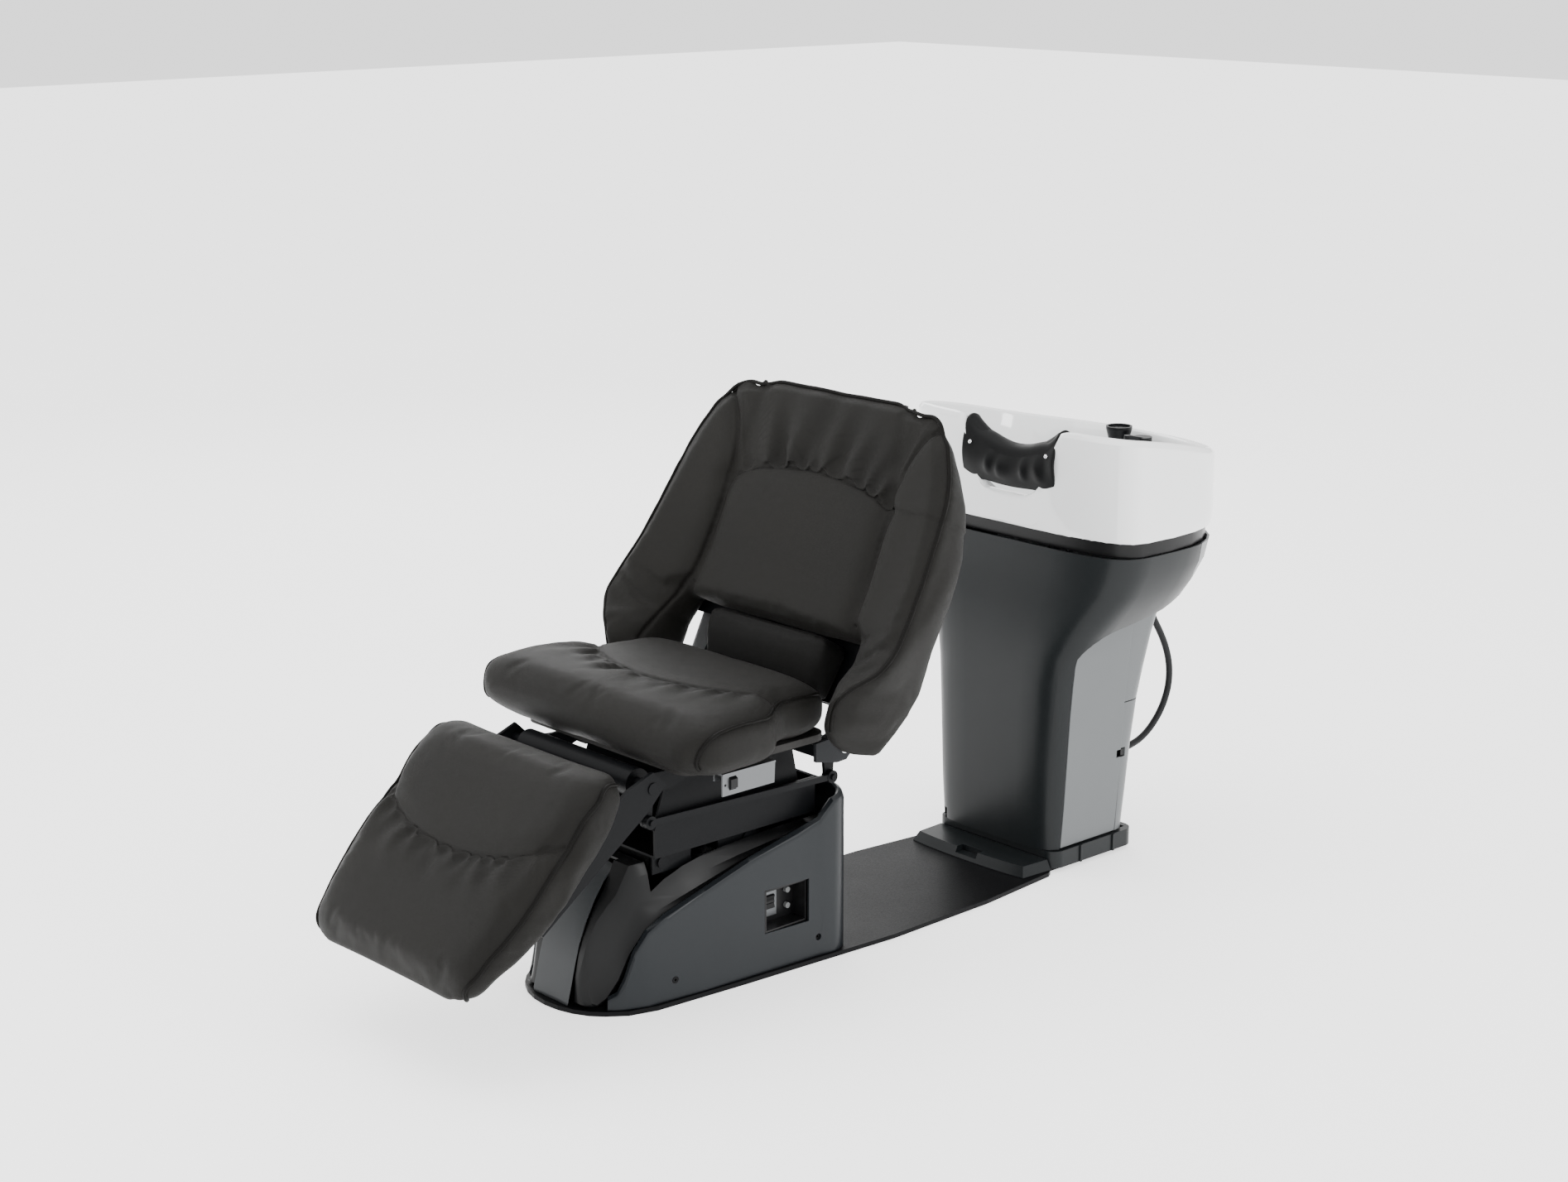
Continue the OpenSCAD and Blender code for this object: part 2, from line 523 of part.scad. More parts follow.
// One row of the shell: a bowed back over a straight front, drawn a wall's thickness inside at t
function shell_front(u) = steel_t + 5 * gap - lookup(u, rear_y);
function shell_row(u, t) = let (k = lookup(u, shell_tab), w = shell_w / 2 - t - 34 * (1 - min(1, k * 1.2)),
    deep = (shell_depth + 16) * k - t)
    [for (a = [0:9:180]) [w * spow(cos(a), 0.42), shell_front(u) + deep * spow(sin(a), 0.62)]];
module back_shell() color("#c9cbcc") difference() {
    at_back() loft([for (u = shell_us) let (o = shell_row(u, 0), i = shell_row(u, cover_t))
        [for (q = concat(o, [for (k = [len(i) - 1:-1:0]) i[k]])) [q[0], q[1], u]]], sheet = true);
    at_shell_screws() cylinder(h = 40, r = 5 + gap);
}
module at_shell_screws() at_back() both() for (u = [120, up(360)])
    translate([90, shell_front(u) + (shell_depth + 16) * lookup(u, shell_tab) - 12, u])
        rotate([-90, 0, 0]) children();
module shell_screws() color("#8d9093") at_shell_screws() difference() {
    cylinder(h = 10, r = 5);
    translate([0, 0, 7.5]) cylinder(h = 4, r = 2.5, $fn = 6);
}

// ---- Leg rest, drawn from its pivot: Z runs down the pad, +Y is its face ----
module leg_shaft() color("#a8abae") translate([0, -leg_front, leg_z]) bar(-183, 183, leg_r);
module leg_frame() color("#1b1d20") {
    difference() {
        union() {
            at_leg() both() cheek(175, 181, [[-18, -20], [18, -20], [42, 30], [46, 50],
                [46, 290], [28, 290], [-18, 30]]);
            at_leg() for (a = [90, 250]) slab(-181, 181, 40, 46, a, a + 30);
            translate([0, -leg_front, leg_z]) bar(lever_x - 0.5, 179, 15);
            lever(-leg_front, leg_z);
        }
        translate([0, -leg_front, leg_z]) bar(-190, 190, leg_r);
    }
}
module leg_board() color("#8a6a45") at_leg() translate([0, 46 + gap, 0]) rotate([-90, 0, 0])
    mirror([0, 1, 0]) rounded_slab(-190, 190, 60, leg_len - 110, 0, 8, 30);
module leg_cushion() color("#2e2d29") at_leg() {
    lo = 137 - leg_t + 3;
    difference() {
        pad(25, 25 + leg_len, 40, [[25, leg_w / 2 - 19], [62, leg_w / 2 - 11], [103, leg_w / 2 - 4],
            [235, leg_w / 2], [290, leg_w / 2 - 1], [348, leg_w / 2 - 9], [410, leg_w / 2 - 24],
            [455, leg_w / 2 - 32]],
            [[25, lo + 14], [54, lo + 8], [110, lo - 2], [164, lo - 5], [254, lo - 2], [320, lo + 6],
                [368, lo + 14], [432, lo + 28], [455, lo + 34]],
            [[25, 122], [62, 134], [103, 141], [240, 142], [348, 140], [411, 137], [455, 126]],
            e = 0.38, steps = 12);
        slab(-191, 191, 30, 46 + gap + 8 + gap, 59, leg_len - 109);
    }
}
module link_rod() color("#303338") translate([0, -leg_front, leg_z - lever_len]) difference() {
    union() {
        for (y = [0, rod_len]) translate([0, y, y * (hinge_z - leg_z) / rod_len]) bar(168, 176, 11);
        cheek(169, 175, [[0, -5], [rod_len, hinge_z - leg_z - 5], [rod_len, hinge_z - leg_z + 5], [0, 5]]);
    }
    bar(160, 180, 5 + run_fit);
    translate([0, rod_len, hinge_z - leg_z]) bar(160, 180, 5 + loose_fit);
}

// ---- Pedestal ----
// Rows of the pedestal's outer shell: height, half width, front, rear
shell_rows = [[42, foot_w / 2, 0, ped_rear], [120, foot_w / 2 + 6, -2, 714], [210, foot_w / 2 + 11, -3, 722],
    [300, foot_w / 2 + 16, -3, 735], [360, foot_w / 2 + 22, -2, 750], [410, foot_w / 2 + 33, 1, 769],
    [455, foot_w / 2 + 56, 6, 793], [shelf_z + 1, foot_w / 2 + 89, 13, 821],
    [535, foot_w / 2 + 108, 19, 838],
    [575, basin_w / 2 - 14, 24, basin_rear - 28], [609, basin_w / 2 - 9, 27, basin_rear - 20]];
// Outline of one row: a broad front, rounded shoulders, and a rear that narrows
function row_ring(a, front, rear, n = 56, ef = 0.42, er = 0.72) = let (mid = front + 0.4 * (rear - front))
    [for (i = [0:n - 1]) let (t = 360 * i / n, c = cos(t), s = sin(t), e = s < 0 ? ef : er)
        [a * spow(c, e), mid + (s < 0 ? mid - front : rear - mid) * spow(s, e)]];
module pedestal_shell(t) {
    m = len(shell_rows);
    outer = [for (r = shell_rows) [for (p = row_ring(r[1], ped_front + r[2], r[3])) [p[0], p[1], r[0]]]];
    inner = [for (i = [m - 1:-1:0]) let (r = shell_rows[i])
        [for (p = row_ring(r[1] - t, ped_front + r[2] + t, r[3] - t)) [p[0], p[1], r[0]]]];
    loft(concat(outer, inner), looped = true);
}
// Side opening under the shoulder, as Y and Z
arch = concat([[ped_side_y, 0], [ped_side_y, 400]],
    [for (a = [0:10:80]) [ped_side_y + 96 * (1 - cos(a)), 400 + 66 * sin(a)]],
    [[690, 486], [742, 508], [960, 508], [960, 0]]);
module arch_cut() cheek(-400, 400, arch);
module pedestal_front_shell() color("#23272a") difference() {
    pedestal_shell(cover_t);
    arch_cut();
    slab(-400, 400, collar_seam_y - 1, 1000, shelf_z, 640);
    slab(-foot_w / 2 + 10, -foot_w / 2 + 28, 470, 560, 30, 62);
}
module side_panel() color("#75797c") difference() {
    intersection() {
        loft([for (r = [[44, 0], [120, 6], [210, 11], [300, 16], [360, 21], [420, 27], [500, 34]])
            let (x = foot_w / 2 + r[1] - 5) [[x - cover_t, ped_side_y + 3, r[0]], [x, ped_side_y + 3, r[0]],
                [x, seam_y - 1, r[0]], [x - cover_t, seam_y - 1, r[0]]]]);
        cheek(100, 260, concat([[ped_side_y + 3, 44], [ped_side_y + 3, 396]],
            [for (a = [0:15:75]) [ped_side_y + 3 + 94 * (1 - cos(a)), 396 + 60 * sin(a)]],
            [[seam_y - 1, 462], [seam_y - 1, 44]]));
    }
    slab(100, 200, seam_y - 12, seam_y + 2, 192, 206);
}
module side_panel_right() side_panel();
module side_panel_left() mirror([1, 0, 0]) side_panel();

// Rows of the column's rear: height, widening, rear
hood_rows = [[44, 0, ped_rear - 4], [120, 5, 708], [210, 9, 714], [297, 13, 724], [299, 13, 724],
    [360, 17, 736], [420, 21, 750], [470, 26, 764], [shelf_z, 31, 776]];
function whole(h) = concat(h, [for (i = [len(h) - 1:-1:0]) [-h[i][0], h[i][1]]]);
// Half of a column row: straight back from the seam, then a round corner
function column_half(r, t) = let (x = foot_w / 2 + r[1] - 5 - t, y = r[2] - t)
    concat([[x, seam_y]], [for (a = [0:15:90]) [x - 38 + 38 * cos(a), y - 38 + 38 * sin(a)]]);
// Half of a collar row: the shell's own outline behind the rear seam
function collar_half(r, t) = let (mid = ped_front + r[2] + 0.4 * (r[3] - ped_front - r[2]),
    deep = r[3] - t - mid, first = asin(pow((collar_seam_y - mid) / deep, 1 / 0.72)))
    [for (k = [0:7]) let (a = first + (90 - first) * k / 7)
        [(r[1] - t) * spow(cos(a), 0.72), mid + deep * spow(sin(a), 0.72)]];
function wall_ring(outer, inner, z, z_in) = concat([for (p = whole(outer)) [p[0], p[1], z]],
    let (f = whole(inner)) [for (i = [len(f) - 1:-1:0]) [f[i][0], f[i][1], z_in]]);
module rear_loft(lo, hi) loft([for (r = hood_rows) if (r[0] >= lo && r[0] <= hi)
    wall_ring(column_half(r, 0), column_half(r, cover_t), r[0], r[0])], sheet = true);
module rear_hood() color("#898d90") difference() {
    loft(concat(
        [for (r = hood_rows) if (r[0] > split_z) wall_ring(column_half(r, 0),
            column_half(r, cover_t), r[0], r[0] + (r[0] == shelf_z ? cover_t : 0))],
        [for (r = shell_rows) if (r[0] > shelf_z) wall_ring(collar_half(r, 0),
            collar_half(r, cover_t), r[0], r[0] + (r[0] == shelf_z + 1 ? cover_t : 0))]), sheet = true);
    translate([hose_x, hose_points[0][1], 490]) cylinder(h = 30, r = 12 + gap);
}
module service_cover() color("#7c8083") difference() {
    rear_loft(44, 297);
    both() slab(foot_w / 2 - 10, 200, seam_y - 4, seam_y + 13, 190, 208);
    translate([hose_x, 660, hose_low[2]]) rotate([-90, 0, 0]) cylinder(h = 80, r = 12 + gap);
}
module cover_latch() color("#3a3d3f") both()
    slab(foot_w / 2 - 8, foot_w / 2 + 2, seam_y + 2, seam_y + 11, 193, 205);

module plinth() color("#2c3033") {
    difference() {
        union() {
            rounded_slab(-foot_w / 2 - 1, foot_w / 2 + 1, 488, 716, plate_t + gap, 41, 26);
            both() for (y = [560, 650]) slab(foot_w / 2 - 2, foot_w / 2 + 4, y, y + 5, plate_t + gap, 41);
        }
        slab(-foot_w / 2 + 14, foot_w / 2 - 14, 502, 702, 0, 60);
    }
}
module foot_flange() color("#1a1c1f") difference() {
    intersection() {
        hull() {
            translate([0, 0, plate_t + gap]) linear_extrude(1) polygon(flange_pts(0));
            translate([0, 0, 26]) linear_extrude(1) polygon(flange_pts(9));
        }
        slab(-200, 200, 380, 486.5, 0, 60);
    }
    slab(-26, 26, 380, 432, 16, 60);
    slab(-118, 118, 440, 500, 0, 19);
}
function flange_pts(d) = concat([for (a = [-60:12:60]) [(142 - d) * sin(a) / sin(60), 424 + d - 16 * cos(a)]],
    [[146 - d, 487], [-146 + d, 487]]);

module column_frame() color("#3d4043") difference() {
    union() {
        both() slab(96, 100, 528, 640, plate_t, 560);
        both() slab(60, 100, 528, 532, plate_t, 560);
        both() slab(60, 112, 528, 640, plate_t, plate_t + 6);
        slab(-100, 100, 540, 640, 548, 554);
        slab(-100, 100, 528, 532, 300, 340);
    }
    translate([0, drain_y, 500]) cylinder(h = 100, r = 44);
}
// Ring under the basin, with a clip on each side
module collar_band() color("#14171a") {
    loft([for (r = [[14, 609.5], [14, basin_z - gap], [20, basin_z - gap], [20, 609.5]])
        at_z(basin_ring(r[0], r[0], r[0]), r[1])], looped = true);
    both() translate([basin_w / 2 - 38, 700, 612]) rotate([0, 0, 16])
        rounded_slab(0, 14, -14, 14, 0, 16, 3);
}

// ---- Basin ----
// Height of the rim over a point of the plan
function rim_z(x, y) = let (k = (y - basin_front) / basin_len,
    level = crest_z + (rim_rear_z - crest_z) * smooth(k, 0, 1.05))
    y > basin_front + 90 ? level
        : level - (crest_z - neck_z) * (1 - smooth(abs(x), neck_half, neck_half + 66));
basin_dirs = concat([for (a = [-160:12:-120]) a], [for (a = [-116:3.2:-64]) a], [for (a = [-60:12:188]) a]);
function basin_ring(inset, front, rear, ef = 0.36, er = 0.8) = [for (t = basin_dirs)
    let (c = cos(t), s = sin(t), e = s < 0 ? ef : er, y0 = basin_mid)
    [(basin_w / 2 - inset) * spow(c, s < 0 ? 0.55 : er), y0 + (s < 0 ? basin_mid - basin_front - front
        : basin_rear - basin_mid - rear) * spow(s, e)]];
function at_z(ring, z) = [for (p = ring) [p[0], p[1], z]];
function under_rim(ring, d) = [for (p = ring) [p[0], p[1], rim_z(p[0], p[1]) - d]];
function circle_ring(r, z) = [for (t = basin_dirs) [r * cos(t), drain_y + r * sin(t), z]];
module basin_body() {
    t = basin_t;
    loft([circle_ring(drain_r, 606), at_z(basin_ring(120, 80, 150), 606),
        at_z(basin_ring(60, 34, 100), 616), at_z(basin_ring(22, 22, 22), basin_z),
        at_z(basin_ring(4, 4, 4), basin_z), at_z(basin_ring(0, 0, 0), basin_z + 6),
        under_rim(basin_ring(1, 1, 1), 26), under_rim(basin_ring(0, 0, 0), 10),
        under_rim(basin_ring(5, 5, 5), 2), under_rim(basin_ring(t / 2, t / 2, t / 2), 0),
        under_rim(basin_ring(t - 3, t - 3, t - 3), 4), under_rim(basin_ring(t, t, t), 14),
        under_rim(basin_ring(t + 6, t + 4, t + 3), 34),
        [for (p = basin_ring(t + 12, t + 10, t + 6)) [p[0], p[1], p[1] > basin_mid ? deck_z : 676]],
        [for (p = basin_ring(t + 22, t + 18, t + 110)) [p[0], p[1], p[1] > basin_mid ? deck_z : 656]],
        at_z(basin_ring(t + 60, t + 42, t + 150), 630), circle_ring(drain_r + 14, 622),
        circle_ring(drain_r, 620)], looped = true);
}
module basin() color("#f2f3f3") difference() {
    basin_body();
    for (x = [shower_x, mixer_x]) translate([x, deck_y, 590]) cylinder(h = 150, r = 16);
}

module neck_rest() color("#17181a") difference() {
    neck_pad();
    basin_body();
}
// Height of the neck rest's saddle across the cut
function saddle(x, top) = top - 42 * (1 - pow(x / 116, 2));
module neck_pad() {
    loft([for (x = [-116, -104, -88, -66, -44, -22, 0, 22, 44, 66, 88, 104, 116])
        let (z = saddle(x, 800), r = abs(x) > 110 ? 22 : 27 - 4 * pow(x / 116, 2))
        [for (a = [0:24:336]) [x, 536 + r * cos(a), z + r * 0.9 * sin(a)]]]);
    loft([for (x = [-66, -60, -40, 0, 40, 60, 66])
        let (low = neck_z + 5 + (abs(x) > 62 ? 22 : abs(x) > 50 ? 6 : 0), high = saddle(x, 785))
        [[x, 514, low], [x, 520, low], [x, 528, high], [x, 514, high]]]);
}

module drain_body() color("#c8cacb") translate([0, drain_y, 0]) difference() {
    union() {
        translate([0, 0, 622]) cylinder(h = 3, r = drain_r + 9);
        translate([0, 0, 560]) cylinder(h = 63, r = drain_r - 1);
        translate([0, 0, 590]) cylinder(h = 14, r = drain_r + 9);
    }
    translate([0, 0, 566]) cylinder(h = 70, r = drain_r - 5);
    translate([0, 0, 550]) cylinder(h = 40, r = outlet_r - 3);
}
module strainer() color("#d4d6d7") translate([0, drain_y, 0]) difference() {
    union() {
        translate([0, 0, 600]) cylinder(h = 25, r = drain_r - 5.6);
        translate([0, 0, 625 - 0.01]) cylinder(h = 2.4, r = drain_r - 7);
        translate([0, 0, 625.5]) cylinder(h = 2, r = drain_r + 2);
    }
    translate([0, 0, 603]) cylinder(h = 30, r = drain_r - 8);
    for (a = [0:60:300]) translate([9 * cos(a), 9 * sin(a), 598]) cylinder(h = 10, r = 3);
    translate([0, 0, 598]) cylinder(h = 10, r = 3);
}
module drain_pipe() color("#5b5e60") translate([0, drain_y, 0]) difference() {
    union() {
        translate([0, 0, 20]) cylinder(h = 539.5, r = outlet_r);
        translate([0, 0, 520]) cylinder(h = 30, r = outlet_r + 6);
    }
    translate([0, 0, 10]) cylinder(h = 560, r = outlet_r - 3);
}
module supply_pipes() color("#b08a4a") for (x = [-56, 56]) translate([x, 660, 0]) difference() {
    union() {
        translate([0, 0, 40]) cylinder(h = 440, r = 7);
        translate([0, 0, 40]) cylinder(h = 24, r = 10.5);
        translate([0, 0, 64]) cylinder(h = 14, r = 15, $fn = 6);
    }
    translate([0, 0, 30]) cylinder(h = 40, r = 7);
}

// ---- Fittings on the basin's rear deck ----
module fittings_body() color("#1a1c1e") translate([mixer_x, deck_y, 0]) {
    translate([0, 0, 640]) cylinder(h = 70, r = 13);
    translate([0, 0, deck_z + gap]) cylinder(h = 34, r = 22);
    translate([0, 0, deck_z + 34]) difference() {
        cylinder(h = 7, r = 19);
        translate([0, 0, 1]) cylinder(h = 8, r = 8 + run_fit);
    }
}
module mixer_lever() color("#15161a") translate([mixer_x, deck_y, 0]) {
    translate([0, 0, deck_z + 36]) cylinder(h = 14, r = 8);
    translate([0, 0, deck_z + 42.5]) cylinder(h = 14, r = 18);
    hull() {
        translate([0, 0, deck_z + 46]) cylinder(h = 8, r = 9, $fn = 32);
        translate([0, -44, deck_z + 58]) cylinder(h = 7, r = 6, $fn = 32);
    }
}
module shower_holder() color("#24262a") translate([shower_x, deck_y, 0]) difference() {
    union() {
        translate([0, 0, deck_z + gap]) cylinder(h = 6, r = 26);
        translate([0, 0, deck_z + 6]) cylinder(h = 22, r = 19);
    }
    translate([0, 0, deck_z - 10]) cylinder(h = 60, r = 14.5);
}
module shower_head() color("#111214") translate([shower_x, deck_y, deck_z - 6]) difference() {
    union() {
        cylinder(h = 37, r = 14);
        translate([0, 0, 36]) cylinder(h = 34, r1 = 16, r2 = 25);
        translate([0, 0, 70]) cylinder(h = 5, r = 25);
    }
    translate([0, 0, 71]) cylinder(h = 6, r = 21);
    for (a = [0:45:315]) translate([12 * cos(a), 12 * sin(a), 68]) cylinder(h = 6, r = 1.6);
}

// ---- Shower hose loop behind the pedestal ----
function unit(v) = v / norm(v);
module shower_hose() color("#3c3e40") {
    p = hose_points;
    n = len(p);
    loft([for (i = [0:n - 1]) let (d = unit(p[min(n - 1, i + 1)] - p[max(0, i - 1)]),
        v = cross(d, [1, 0, 0])) [for (a = [0:36:324])
            p[i] + hose_d / 2 * (cos(a) * [1, 0, 0] + sin(a) * v)]]);
}
module hose_glands() color("#141517") {
    top = hose_points[0];
    translate(top) cylinder(h = 40, r = 12);
    translate([hose_x, top[1], shelf_z - 9]) cylinder(h = 8.5, r = 16);
    translate(hose_low) rotate([90, 0, 0]) cylinder(h = 46, r = 12);
    translate([hose_x, 722, hose_low[2]]) rotate([90, 0, 0]) cylinder(h = 6, r = 17);
}

base_plate();
base_frame();
base_side_cover();
base_inner_cover();
base_front_panel();
cover_screws();
switch_recess();
main_switch();
reset_button_upper();
reset_button_lower();
lift_gearbox();
control_box();
front_links();
front_lift_shaft();
rear_links();
rear_lift_shaft();
seat_frame();
upper_link_pins();
seat_board();
seat_cushion();
switch_panel();
seat_switch();
leg_pivot_tube();
hinge_brackets();
recline_gearbox();
recline_shaft();
back_frame();
back_cushion();
back_wing_left();
back_wing_right();
back_lower_cover();
back_shell();
shell_screws();
leg_shaft();
leg_frame();
leg_board();
leg_cushion();
link_rod();
plinth();
foot_flange();
column_frame();
pedestal_front_shell();
side_panel_left();
side_panel_right();
rear_hood();
service_cover();
cover_latch();
collar_band();
basin();
neck_rest();
drain_body();
strainer();
drain_pipe();
supply_pipes();
fittings_body();
mixer_lever();
shower_holder();
shower_head();
shower_hose();
hose_glands();
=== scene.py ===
"""Looks of the shampoo backwash unit: upholstery, mouldings, glaze, metal and the studio round it."""
import json
import math

import bpy
import numpy as np
from mathutils import Matrix, Vector
from mathutils.bvhtree import BVHTree


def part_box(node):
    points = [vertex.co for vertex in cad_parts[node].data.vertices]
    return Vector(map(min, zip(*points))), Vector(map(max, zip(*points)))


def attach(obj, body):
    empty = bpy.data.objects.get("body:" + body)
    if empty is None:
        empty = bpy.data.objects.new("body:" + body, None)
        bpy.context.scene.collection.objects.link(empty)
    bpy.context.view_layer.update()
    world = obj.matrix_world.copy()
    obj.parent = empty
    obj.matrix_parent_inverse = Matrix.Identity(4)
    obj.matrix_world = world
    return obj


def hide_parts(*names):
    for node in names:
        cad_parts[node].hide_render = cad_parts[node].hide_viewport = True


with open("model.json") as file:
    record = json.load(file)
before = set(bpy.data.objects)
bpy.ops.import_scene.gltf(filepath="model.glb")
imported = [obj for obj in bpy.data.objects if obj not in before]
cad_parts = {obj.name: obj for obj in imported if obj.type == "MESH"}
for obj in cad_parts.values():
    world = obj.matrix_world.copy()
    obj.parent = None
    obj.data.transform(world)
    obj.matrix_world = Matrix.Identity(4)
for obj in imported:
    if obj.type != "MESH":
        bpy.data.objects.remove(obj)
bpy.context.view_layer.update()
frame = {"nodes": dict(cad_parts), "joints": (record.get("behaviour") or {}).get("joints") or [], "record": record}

nodes = frame["nodes"]
joint_place = {j["name"]: Vector(j.get("pos_m", (0, 0, 0))) for j in frame["joints"]}
body_of = {n: b for b, ns in frame["record"]["behaviour"]["bodies"].items() for n in ns}

# Lean of the back from upright, and of the leg rest below level, in degrees
BACK_LEAN = 30
LEG_DROP = 46
# Radius of the piping cord under the cover, and the share of it that stands out of the cover
PIPING_R = 0.0032
PIPING_SHOWS = 0.45
CAMERA_PLACE = (3.312, -3.059, 1.763)
CAMERA_TURN = (math.radians(75.5), 0, math.radians(47.7))
CAMERA_LENS = 62.46
CAMERA_SENSOR = 36
WORLD_LIGHT = 1.7
# How much of its stated colour a dark or a pale moulding keeps in the bright studio
DARK_SHARE = 0.36
PALE_SHARE = 0.62
FLOOR_GLOW = 1.2


# ---- Studio ----
def stand_camera():
    bpy.ops.object.camera_add(location=CAMERA_PLACE, rotation=CAMERA_TURN)
    camera = bpy.context.object
    camera.data.lens = CAMERA_LENS
    camera.data.sensor_width = CAMERA_SENSOR
    bpy.context.scene.camera = camera


def soft_box(name, place, aim, size, power):
    """A large square lamp that looks at a point."""
    bpy.ops.object.light_add(type="AREA", location=place)
    lamp = bpy.context.object
    lamp.name = name
    lamp.data.size = size
    lamp.data.energy = power
    lamp.rotation_euler = (Vector(aim) - Vector(place)).to_track_quat("-Z", "Y").to_euler()


def light_studio():
    soft_box("lamp_over", (-0.4, -0.6, 3.6), (0, 0, 0.4), 3.0, 60)
    soft_box("lamp_foot_end", (-1.2, -4.2, 1.9), (0, 0, 0.5), 2.6, 55)
    soft_box("lamp_side", (4.4, 0.8, 2.2), (0, 0.2, 0.6), 1.2, 70)
    soft_box("lamp_far_side", (-3.6, 2.0, 2.6), (0, 0.3, 0.7), 2.2, 45)
    world = bpy.data.worlds.new("studio")
    world.use_nodes = True
    sky = world.node_tree.nodes["Background"]
    sky.inputs["Color"].default_value = (1, 1, 1, 1)
    sky.inputs["Strength"].default_value = WORLD_LIGHT
    bpy.context.scene.world = world


stand_camera()
light_studio()


# ---- Modelling helpers ----
def nothing_selected():
    if bpy.context.object and bpy.context.object.mode != "OBJECT":
        bpy.ops.object.mode_set(mode="OBJECT")
    bpy.ops.object.select_all(action="DESELECT")


def pick(piece):
    nothing_selected()
    piece.select_set(True)
    bpy.context.view_layer.objects.active = piece
    return piece


def bake_place(piece, name, body):
    """Names a finished piece, puts its place in its mesh and lets it ride on a body."""
    pick(piece)
    bpy.ops.object.transform_apply(location=True, rotation=True, scale=True)
    piece.name = name
    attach(piece, body)
    return piece


def apply_all(piece):
    pick(piece)
    for modifier in list(piece.modifiers):
        bpy.ops.object.modifier_apply(modifier=modifier.name)


def copy_of(node):
    """A loose copy of a CAD node with its triangles joined up."""
    piece = nodes[node].copy()
    piece.data = nodes[node].data.copy()
    piece.parent = None
    for key in list(piece.keys()):
        del piece[key]
    piece.hide_render = piece.hide_viewport = False
    bpy.context.scene.collection.objects.link(piece)
    pick(piece)
    if piece.data.has_custom_normals:
        bpy.ops.mesh.customdata_custom_splitnormals_clear()
    bpy.ops.object.mode_set(mode="EDIT")
    bpy.ops.mesh.select_all(action="SELECT")
    bpy.ops.mesh.remove_doubles(threshold=0.00001)
    bpy.ops.object.mode_set(mode="OBJECT")
    return piece


def read_points(mesh):
    points = np.empty(len(mesh.vertices) * 3)
    mesh.vertices.foreach_get("co", points)
    return points.reshape(-1, 3)


def write_points(mesh, points):
    mesh.vertices.foreach_set("co", np.asarray(points, float).ravel())
    mesh.update()


def read_normals(mesh):
    normals = np.empty(len(mesh.vertices) * 3)
    mesh.vertex_normals.foreach_get("vector", normals)
    return normals.reshape(-1, 3)


def frame_at(place, turn):
    """Axes of a leaning pad: X across, Y out of its back, Z along it."""
    return Matrix.Translation(place) @ Matrix.Rotation(math.radians(turn), 4, "X")


BACK_AXES = frame_at(joint_place["back_recline"], -BACK_LEAN)
LEG_AXES = frame_at(joint_place["legrest_swing"], 90 + LEG_DROP)


def curve_through(points, count):
    """Evenly spaced points on a smooth curve through a few places."""
    p = np.array(points, float)
    p = np.vstack([2 * p[0] - p[1], p, 2 * p[-1] - p[-2]])
    out = []
    for i in range(1, len(p) - 2):
        for t in np.linspace(0, 1, 24, endpoint=False):
            a, b, c, d = p[i - 1:i + 3]
            out.append(0.5 * (2 * b + (c - a) * t + (2 * a - 5 * b + 4 * c - d) * t * t
                              + (3 * b - a - 3 * c + d) * t ** 3))
    out = np.array(out + [p[-2]])
    run = np.concatenate([[0], np.cumsum(np.linalg.norm(np.diff(out, axis=0), axis=1))])
    even = np.linspace(0, run[-1], count)
    return np.stack([np.interp(even, run, out[:, k]) for k in range(3)], 1)


def mirrored(points):
    return [(-p[0], p[1], p[2]) for p in points]


# ---- Finishes ----
class Term:
    """A shader value; sums on it add Math nodes."""

    def __init__(self, finish, socket):
        self.finish = finish
        self.socket = socket

    def maths(self, operation, *values):
        return self.finish.node("ShaderNodeMath", {"operation": operation}, dict(enumerate(values)))

    def __add__(self, other):
        return self.maths("ADD", self, other)

    def __sub__(self, other):
        return self.maths("SUBTRACT", self, other)

    def __mul__(self, other):
        return self.maths("MULTIPLY", self, other)


